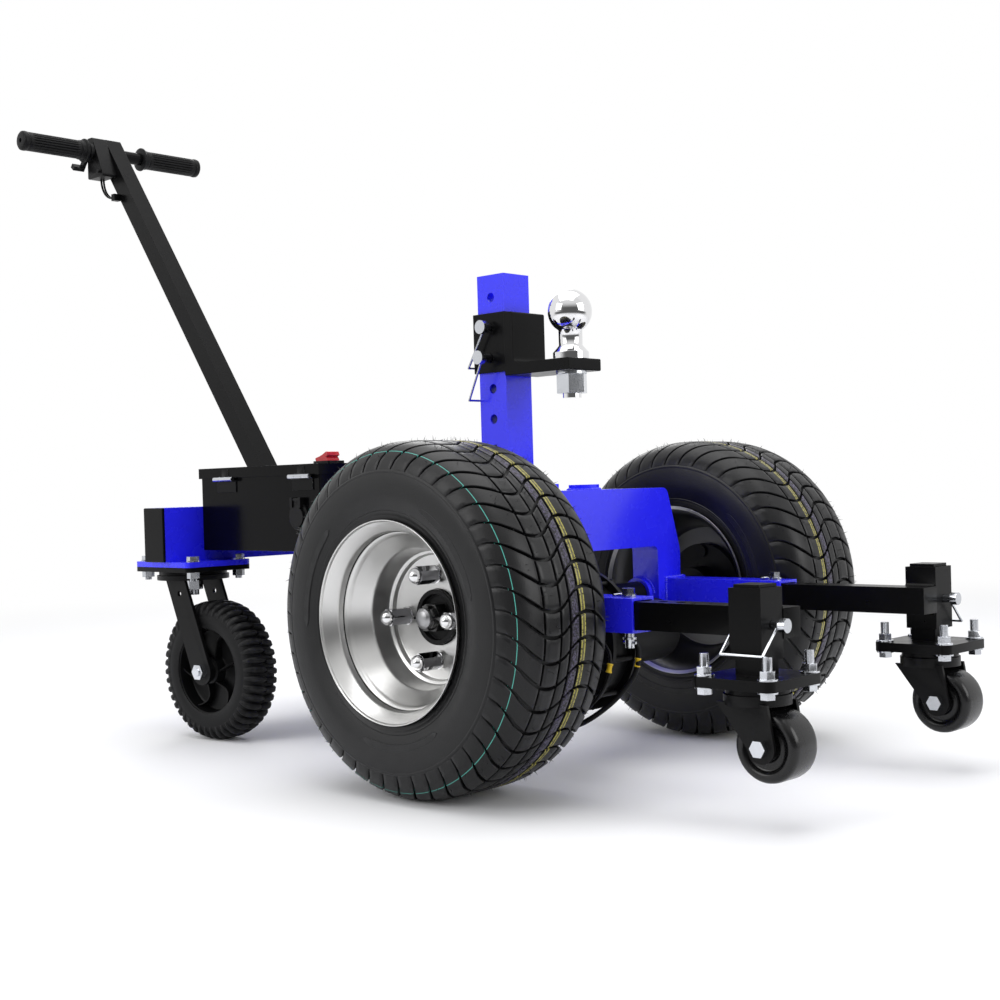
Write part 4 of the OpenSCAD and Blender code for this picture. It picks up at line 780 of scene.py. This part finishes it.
motorWires = {
    "thin": 2.0,
    "thick": 3.4,
    "thinPath": (
        (28, -121, 201), (60, -119, 193), (104, -110, 180), (126, -109, 160), (131, -113, 142),
        (129, -117, 124), (118, -122, 104), (96, -120, 86), (70, -110, 77), (50, -99, 82)),
    "thickPath": (
        (28, -118, 212), (70, -104, 199), (112, -82, 186), (133, -66, 166), (136, -65, 146), (133, -72, 124),
        (120, -92, 98), (98, -112, 76), (72, -116, 66), (48, -100, 78)),
    "connectors": (((131.0, -112.4, 145), (130.0, -114.8, 134)), ((136.2, -65.1, 147), (135.3, -66.9, 136))),
    "connectorRadius": 3.9,
    "connectorShape": ((0, 0.8), (0.04, 1.0), (0.16, 1.0), (0.2, 0.86), (0.45, 0.8), (0.55, 0.8), (0.8, 0.86),
                       (0.84, 1.0), (0.96, 1.0), (1, 0.8)),
}
for name in ("thin", "thick"):
    points = motorWires[name + "Path"]
    verts, faces = sweepTube(points, [motorWires[name]] * len(points))
    addPiece("motor_wire_" + name, meshFrom("wire", toRow(verts), faces), "blackPlastic", "chassis", sharp=60)
for n, (a, b) in enumerate(motorWires["connectors"]):
    points = [tuple(p + (q - p) * t for p, q in zip(a, b)) for t, _ in motorWires["connectorShape"]]
    radii = [motorWires["connectorRadius"] * k for _, k in motorWires["connectorShape"]]
    verts, faces = sweepTube(points, radii, 14, 2)
    mesh = meshFrom("connector", toRow(verts), faces)
    addPiece("wire_connector_%d" % n, mesh, "connectorYellow", "chassis", sharp=40)
print("beads and wires built")

# ---- drive tyres: a carcass with a ring of block tread and moulding hairs ----
tyre = {
    "copies": 46,
    "grooveDepth": ((70, 6.5), (84.08, 0.78)),  # less towards the shoulder
    "gap": ((60, 4.4), (84, 1.8)),  # between blocks, round the tyre
    "blockEdge": 0.9,
    "edgeDrop": 0.75,
    "footDepth": 0.6,  # how far the blocks go into the groove floor
    "columns": ((-83.4, -42.5), (-39.5, -16.9), (-13.8, -1.6), (1.6, 13.8), (16.9, 39.5), (42.5, 83.4)),
    "columnSteps": (13, 4, 3, 3, 4, 13),
    "crown": (
        (0, 209), (28, 208.9), (44, 208.2), (56, 206), (64, 202.8), (71, 197.6), (77, 190), (81, 182.2),
        (83.4, 174), (85.0, 165)),
    "sweep": (
        (0, 0), (5, 1.2), (10, 2.2), (15, 2.9), (20, 3.3), (25, 3.5), (30, 3.45), (36, 3.15), (42, 2.6),
        (50, 1.2), (60, -0.7), (70, -3.4), (78, -6.0), (84, -7.2)),
    "shoulder": [(174.6, 83.4), (173.6, 84.1), (172.2, 84.1), (171.4, 83.9)],
    "sidewall": [(174.0, 83.3), (168, 84.5), (158, 85.2), (146, 84.9), (135, 82.6), (129, 80.9)],
    "bead": [(128.2, 81.6), (125.6, 81.2), (124.6, 80.0), (121.5, 79.4), (118.6, 79.2), (112.6, 76.4),
             (106.4, 66.2), (103.2, 58.4)],
    "lining": [(112.2, 61.4), (125, 70.4), (165, 76.4), (181, 71.4), (193, 51.2), (195, 34.0)],
    "floorEdge": 82.8,
    "floorSteps": 42,
    "steps": 176,
    "hairDensity": 3600.0,
    "hairSize": (0.55, 1.3),
    "hairLean": 0.5,
    "hairFloor": 0.014,  # no hairs below this height
}


def crownPoint(q):
    # the skin of the tread at an outward place, and its outward normal
    out = abs(q)
    near, far = max(out - 0.4, 0), out + 0.4
    slope = (between(crownTable, far) - between(crownTable, near)) / (far - near)
    size = hypot(1, slope)
    return between(crownTable, out), (copysign(-slope / size, q) if q else 0.0, 1 / size)


def sweepAngle(q):
    angle = between(tyre["sweep"], abs(q))
    return angle if q < 0 else -angle


def blockAngles(q, radius, rows):
    # the turns of a block's rows of points at an outward place
    half = degrees(between(tyre["gap"], abs(q)) / 2 / radius)
    low = sweepAngle(q) + half
    high = sweepAngle(q) + 360 / tyre["copies"] - half
    lip = degrees(tyre["blockEdge"] / radius)
    middle = [low + lip + (high - low - 2 * lip) * k / (rows - 3) for k in range(1, rows - 3)]
    return [low, low + lip] + middle + [high - lip, high]


def treadPitch():
    # one pitch of the block pattern about the wheel centre, in metres
    verts, faces = [], []
    for (q0, q1), steps in zip(tyre["columns"], tyre["columnSteps"]):
        edge = tyre["blockEdge"] / (q1 - q0)
        across = [0, edge] + [edge + (1 - 2 * edge) * i / steps for i in range(1, steps)] + [1 - edge, 1]
        last, rows = len(across) - 1, 7 if q1 - q0 > 20 else 6
        top, foot = {}, {}
        for layer in (top, foot):
            for i, u in enumerate(across):
                q = q0 + (q1 - q0) * u
                radius, (nq, nr) = crownPoint(q)
                for k, angle in enumerate(blockAngles(q, radius, rows)):
                    rim = i in (0, last) or k in (0, rows - 1)
                    if layer is foot and not rim:
                        continue
                    drop = tyre["edgeDrop"] if rim else 0.0
                    if layer is foot:
                        drop = between(tyre["grooveDepth"], abs(q)) + tyre["footDepth"]
                    r, place, turn = radius - nr * drop, q - nq * drop, radians(angle)
                    layer[i, k] = len(verts)
                    verts.append((r * cos(turn) / 1000, -place / 1000, r * sin(turn) / 1000))
        for i in range(last):
            for k in range(rows - 1):
                faces.append((top[i, k], top[i, k + 1], top[i + 1, k + 1], top[i + 1, k]))
        ring = [(i, 0) for i in range(last + 1)] + [(last, k) for k in range(1, rows)]
        ring += [(i, rows - 1) for i in range(last - 1, -1, -1)] + [(0, k) for k in range(rows - 2, 0, -1)]
        for a, b in zip(ring, ring[1:] + ring[:1]):
            faces.append((top[b], foot[b], foot[a], top[a]))
    mesh = bpy.data.meshes.new("treadPitch")
    mesh.from_pydata(verts, [], faces)
    return mesh


def hairTree():
    # short moulding hairs that stand on the tread
    tree, given, out = growTree("mouldingHairs", [
        ("Density", "Float", 2000.0), ("Seed", "Int", 3), ("Length", "Float", 0.005),
        ("Thickness", "Float", 0.0004), ("Centre", "Vector", (0.0, 0.0, 0.0)),
        ("Inner Radius", "Float", 0.192)])
    spot = tree.nodes.new("GeometryNodeInputPosition").outputs[0]
    away = addNode(tree, "ShaderNodeVectorMath", {0: spot, 1: given["Centre"]}, operation="SUBTRACT")
    flat = addNode(tree, "ShaderNodeVectorMath", {0: away.outputs[0], 1: (1, 0, 1)}, operation="MULTIPLY")
    length = addNode(tree, "ShaderNodeVectorMath", {0: flat.outputs[0]}, operation="LENGTH").outputs["Value"]
    height = addNode(tree, "ShaderNodeSeparateXYZ", {0: spot}).outputs["Z"]
    onTread = mathNode(tree, "GREATER_THAN", length, given["Inner Radius"])
    offFloor = mathNode(tree, "GREATER_THAN", height, tyre["hairFloor"])
    both = addNode(tree, "FunctionNodeBooleanMath", {0: onTread, 1: offFloor}, operation="AND")
    spread = addNode(tree, "GeometryNodeDistributePointsOnFaces", {
        "Mesh": given["Geometry"], "Selection": both.outputs[0], "Density": given["Density"],
        "Seed": given["Seed"]})
    hair = addNode(tree, "GeometryNodeMeshCone", {
        "Vertices": 3, "Radius Top": 0.0, "Radius Bottom": given["Thickness"], "Depth": given["Length"]})
    small, large = tyre["hairSize"]
    size = addNode(tree, "FunctionNodeRandomValue", {2: small, 3: large, "Seed": 7}).outputs[1]
    tilt = tyre["hairLean"]
    lean = addNode(tree, "FunctionNodeRandomValue", {0: (-tilt, -tilt, 0), 1: (tilt, tilt, 0), "Seed": 11},
                   data_type="FLOAT_VECTOR").outputs[0]
    turn = addNode(tree, "FunctionNodeRotateRotation", {0: spread.outputs["Rotation"], 1: lean},
                   rotation_space="LOCAL")
    place = addNode(tree, "GeometryNodeInstanceOnPoints", {
        "Points": spread.outputs["Points"], "Instance": hair.outputs["Mesh"], "Rotation": turn.outputs[0],
        "Scale": size})
    return endTree(tree, given, out, place.outputs[0])


crownTable = smoothPath(tyre["crown"], 4)
growHairs = hairTree()


def carcassPath():
    # closed section of the tyre: groove floor, sidewall, bead and lining, as radius and outward place
    floor = []
    for i in range(tyre["floorSteps"] + 1):
        q = tyre["floorEdge"] * sin(pi / 2 * i / tyre["floorSteps"])
        radius, (nq, nr) = crownPoint(q)
        depth = between(tyre["grooveDepth"], abs(q))
        floor.append((radius - nr * depth, q - nq * depth))
    wall = tyre["shoulder"] + smoothPath(tyre["sidewall"], 3)[1:]
    return mirrored(floor + wall + tyre["bead"] + tyre["lining"])


bar = {
    "radius": 143.0, "width": 9.0, "height": 0.5, "span": 52, "starts": (12, 132, 252), "steps": 26,
    "section": ((-0.5, -0.6), (-0.42, 1), (0.42, 1), (0.5, -0.6)),  # parts of the width and of the height
    "wall": (84.75, 150, 260),  # the wall's widest place, its radius there, and how fast it falls away
    "widest": 85.4,
}


def sidewallBars():
    # plain raised bars that follow the sidewall
    verts, faces = [], []
    steps = bar["steps"]
    wide, middle, fall = bar["wall"]
    for start in bar["starts"]:
        for end in (1, -1):
            base = len(verts)
            for i in range(steps + 1):
                turn = radians(start + bar["span"] * i / steps)
                narrow = max(sqrt(max(0.0, 1 - (2 * i / steps - 1) ** 10)), 0.1)
                for across, lift in bar["section"]:
                    r = bar["radius"] + across * bar["width"] * narrow
                    skin = wide - (r - middle) ** 2 / fall
                    q = min(skin + lift * bar["height"], bar["widest"])
                    verts.append((r * cos(turn), end * q, r * sin(turn)))
            for i in range(steps):
                faces += bridge(base + i * 4, base + (i + 1) * 4, 4, False)
            tip = base + steps * 4
            faces += [(base, base + 1, base + 2, base + 3), (tip + 3, tip + 2, tip + 1, tip)]
    return verts, faces


def buildDriveTyre(sideName, side):
    pitch = treadPitch()
    if side > 0:
        pitch.transform(Matrix.Rotation(pi, 4, "Z"))
    centre = (axleX, side * tyreMarks["middle"], tyreMarks["axleHeight"])
    tread = runTree(pitch, copyRing, "tread", Copies=tyre["copies"], Centre=centre,
                    Finish=finish["treadRubber"])
    hairs = runTree(tread.copy(), growHairs, "hairs_" + sideName, Density=tyre["hairDensity"],
                    Centre=centre, Finish=finish["tyreRubber"])
    parts = [tread] + [meshFrom("tyrePart", atWheel(verts, side), faces)
                       for verts, faces in (lathe(carcassPath(), tyre["steps"]), sidewallBars())]
    body = "drive_wheel_" + sideName
    addPiece("tyre_hairs_" + sideName, hairs, "tyreRubber", body)
    addPiece("tyre_tread_" + sideName, joinMeshes("tyreSkin", parts), "treadRubber", body,
             ("tyre_" + sideName,), sharp=42)


for sideName, side in sides:
    buildDriveTyre(sideName, side)
print("drive tyres built")

# ---- rims ----
rimShape = {
    "steps": 160,
    "edge": 0.8,
    "inside": (266, 209, 112),  # painted shade on the rim's inside: nearer than this, height of the axle, and its radius
    "face": [
        (118, 85.5), (116.9, 85.1), (116.2, 83.8), (115.9, 82), (115, 81), (113, 79.2), (105.4, 69.2),
        (104.5, 67.6), (104.2, 65.8), (103.8, 58.6), (103.2, 57.2), (102, 56.4), (100.8, 55.2), (99.4, 52.2),
        (98.2, 50), (84.6, 33.2), (83.4, 31.2), (82.8, 29), (79.9, 9.6), (79.2, 8), (77.8, 7.2), (76, 7),
        (75, 6.2), (74.6, 5), (74.4, 0.6), (72.6, 0), (33.4, 0)],
    "back": [
        (33.4, -3), (85, -3), (88, -9.5), (89, -20), (92, -35), (99.6, -59), (103, -66), (108.5, -77.5),
        (113.5, -81.5), (118, -85.5), (118, -82.6), (113, -76.5), (106, -66.5), (102.5, -60), (99, -35),
        (97.5, -20), (92, 0), (85.5, 8), (87.5, 31), (104, 51), (107.5, 57), (108, 67), (113.8, 75.5),
        (118, 82.6)],
}


# the rim's inside near the hub, which gets a dark metal as painted shade
def inPaintedRimShade(x, y, z):
    out, height, radius = rimShape["inside"]
    return abs(y) < out and hypot(x, z - height) < radius


for sideName, side in sides:
    verts, faces = lathe(rimShape["face"] + rimShape["back"], rimShape["steps"])
    rim = addPiece("rim_shell_" + sideName, meshFrom("rimShell", atWheel(verts, side), faces), "silverPaint",
                   "drive_wheel_" + sideName, ("rim_" + sideName,), sharp=50)
    paintFaces(rim, "darkSteelAndRimShade", inPaintedRimShade)
    roundEdges(rim, rimShape["edge"], angle=30)

# ---- rear caster wheels: lugged solid tyre on a ribbed hub ----
rear = {
    "copies": 44,
    "lug": (  # from the shoulder to the middle: outward place, radius, half width in degrees
        (28.0, 83.4, 1.5), (27.7, 88.5, 1.9), (26.0, 94.2, 2.3), (21.5, 99.0, 2.5), (14.5, 101.6, 2.5),
        (7.5, 102.4, 2.3), (0.4, 102.3, 1.4)),
    "lugHeight": 6.2,
    "lugSkew": 0.05,  # degrees per mm towards the middle
    "lugSection": ((-1.35, -1), (-1.0, -0.25), (-0.55, 0), (0.55, 0), (1.0, -0.25), (1.35, -1)),
    "tyreSteps": 132,
    "hubSteps": 96,
    "hubEdge": 0.5,
    "ribs": 6,
    "ribSteps": 8,
    "ribReach": (17, 44.5),  # radius where a rib starts, and its length
    "ribBow": 16,  # degrees
    "ribSection": ((-1.6, 4, 0), (-1.3, 19, 5), (1.3, 19, 5), (1.6, 4, 0)),  # across, out, dip
    "tyre": [(63, -26.2), (64.6, -27.3), (79.5, -27.6), (81.2, -27.0), (82.6, -27.3), (88.5, -25.9),
             (92.8, -21.8), (95.4, -14), (96.1, 0)],
    "hub": [(6.1, 30.4), (13, 30.4), (14.5, 29.6), (16, 22), (17.5, 21), (19, 20.4), (20, 6), (23, 4.4),
            (56, 4.4), (59.4, 6), (60.6, 20), (61.4, 24.2), (63.4, 24.8)],
}


def rearLug(end):
    # one lug about the wheel centre, in metres
    verts, faces = [], []
    for n, (q, r, half) in enumerate(rear["lug"]):
        skew = rear["lugSkew"] * (rear["lug"][0][0] - q) * end
        tilt = atan2(q, 34) * (1 if r < 100 else 0.25)
        for angle, lift in rear["lugSection"]:
            turn = radians(angle * half + skew + (0 if end > 0 else 180 / rear["copies"]))
            drop = rear["lugHeight"] * -lift
            reach, out = r - drop * cos(tilt), (q - drop * sin(tilt)) * end
            verts.append((reach * cos(turn) / 1000, out / 1000, reach * sin(turn) / 1000))
        if n:
            faces += bridge((n - 1) * 6, n * 6, 6, False)
    last = len(verts) - 6
    faces += [(5, 4, 3, 2, 1, 0), tuple(last + k for k in range(6))]
    return meshFrom("rearLug", verts, faces)


def hubRibs():
    # curved ribs between the boss and the ring of the hub, on both faces
    verts, faces = [], []
    steps = rear["ribSteps"]
    start, length = rear["ribReach"]
    for end in (1, -1):
        for n in range(rear["ribs"]):
            base = len(verts)
            for i in range(steps + 1):
                r = start + length * i / steps
                bow = sin(pi * i / steps)
                bend = radians(360 / rear["ribs"] * n + rear["ribBow"] * bow)
                for across, out, dip in rear["ribSection"]:
                    turn = bend + across / r
                    verts.append((r * cos(turn), end * (out - dip * bow), r * sin(turn)))
            for i in range(steps):
                faces += bridge(base + i * 4, base + (i + 1) * 4, 4)
            tip = base + steps * 4
            faces += [(base, base + 1, base + 2, base + 3), (tip + 3, tip + 2, tip + 1, tip)]
    return verts, faces


for sideName, _ in sides:
    body = "rear_roller_" + sideName
    joint = body + "_spin"
    parts = []
    for end in (1, -1):
        ring = runTree(rearLug(end), copyRing, "lugs", Copies=rear["copies"],
                       Finish=finish["rearTread"])
        for vertex, place in zip(ring.vertices, atJoint([v.co * 1000 for v in ring.vertices], joint)):
            vertex.co = place
        parts.append(ring)
    verts, faces = lathe(mirrored(rear["tyre"]), rear["tyreSteps"])
    parts.append(meshFrom("rearCarcass", atJoint(verts, joint), faces))
    addPiece("rear_tyre_" + sideName, joinMeshes("rearTyre", parts), "rearTread", body,
             ("rear_wheel_" + sideName,), sharp=42)
    parts = [meshFrom("hubPart", atJoint(verts, joint), faces)
             for verts, faces in (lathe(mirrored(rear["hub"]), rear["hubSteps"]), hubRibs())]
    hub = addPiece("rear_hub_" + sideName, joinMeshes("rearHub", parts), "blackPlastic", body)
    roundEdges(hub, rear["hubEdge"], segments=1)

# ---- front caster wheels: smooth rollers with stepped sides ----
frontRoller = {
    "steps": 96,
    "section": [(5.1, 24.4), (9.6, 24.4), (11, 23.6), (12, 18.4), (14.5, 17.8), (16, 18.6), (18, 18.6),
                (19.4, 17.6), (23.8, 17.6), (25.4, 18.6), (27, 21.4), (28.4, 22.3), (31.4, 22.4),
                (33.8, 21.8), (36.0, 20.2), (37.4, 17.6), (38, 14.0), (38, 0)],
}
for sideName, _ in sides:
    verts, faces = lathe(mirrored(frontRoller["section"]), frontRoller["steps"])
    body = "front_roller_" + sideName
    roller = meshFrom("frontRoller", atJoint(verts, body + "_spin"), faces)
    addPiece("front_roller_skin_" + sideName, roller, "frontTread", body, ("front_wheel_" + sideName,),
             sharp=38)
print("wheels built")

# ---- grips: moulded flutes between smooth collars ----
grip = {
    "barX": -1115, "barZ": 987, "inner": 56, "around": 132, "flutes": 22, "depth": 2.08,
    "fluteEnds": (17, 109, 6),  # from and to along the grip, and how long they take to begin
    "waist": (64, 62),  # where the flutes reach furthest round the sides, and how far they go from there
    "shallow": 0.35,
    "profile": ((0, 19.5), (0.8, 20.8), (3.2, 21), (4.4, 20.2), (5.2, 17.4), (6.5, 17.3), (12.5, 17.3),
                (13.8, 16.0), (15, 16.4), (112, 16.4), (113.4, 15.6), (115, 16.8), (119, 17.2), (122.5, 16.6),
                (124.4, 14.2), (125, 11)),
    "stations": (0, 0.8, 2, 3.2, 4.4, 5.2, 6.5, 9.5, 12.5, 13.8, 15, 17, 19, 21, 23, *range(27, 104, 4), 105,
                 107, 109, 112, 113.4, 115, 117, 119, 121, 122.5, 123.6, 124.4, 125),
    "endHole": ((4.2, 125), (3.6, 121)),
    "bore": ((11.05, 0), (11.05, 120)),
}


def flutedRadius(along, turn):
    # radius of the skin; the flutes fade towards the collars and towards the sides
    first, last, fade = grip["fluteEnds"]
    cut = min(1.0, max(0.0, (along - first) / fade)) * min(1.0, max(0.0, (last - along) / fade))
    swell = abs(sin(grip["flutes"] * turn / 2))
    middle, reach = grip["waist"]
    side = 0.75 + 0.5 * cos(2 * turn) - abs(along - middle) / reach
    wave = grip["shallow"] + (1 - grip["shallow"]) * min(1, max(0, side * 3))
    return between(grip["profile"], along) - grip["depth"] * cut * wave * (1 - swell) ** 1.5


def gripRing(side, along, radius=None):
    # points round the bar at a place from the grip's inner end
    ring = []
    for k in range(grip["around"]):
        turn = 2 * pi * k / grip["around"]
        r = radius or flutedRadius(along, turn)
        ring.append((grip["barX"] + r * cos(turn), side * (grip["inner"] + along),
                     grip["barZ"] + r * sin(turn)))
    return ring


def buildGrips():
    verts, faces = [], []
    around = grip["around"]
    for _, side in sides:
        base = len(verts)
        for along in grip["stations"]:
            verts += gripRing(side, along)
        hole = len(verts)
        bore = hole + 2 * around
        for radius, along in grip["endHole"] + grip["bore"]:
            verts += gripRing(side, along, radius)
        rings = [(a, a + around) for a in range(base, hole, around)]  # the last one goes on into the hole
        rings += [(hole, hole + around), (base, bore), (bore, bore + around)]
        for a, b in rings:
            faces += bridge(a, b, around)
        for end in (hole + around, bore + around):
            faces.append(tuple(end + k for k in range(around)))
    mesh = meshFrom("gripSkins", toRow(verts), faces)
    addPiece("grip_skins", mesh, "gripRubber", "chassis", ("grips",), sharp=50)


buildGrips()
print("grips built")
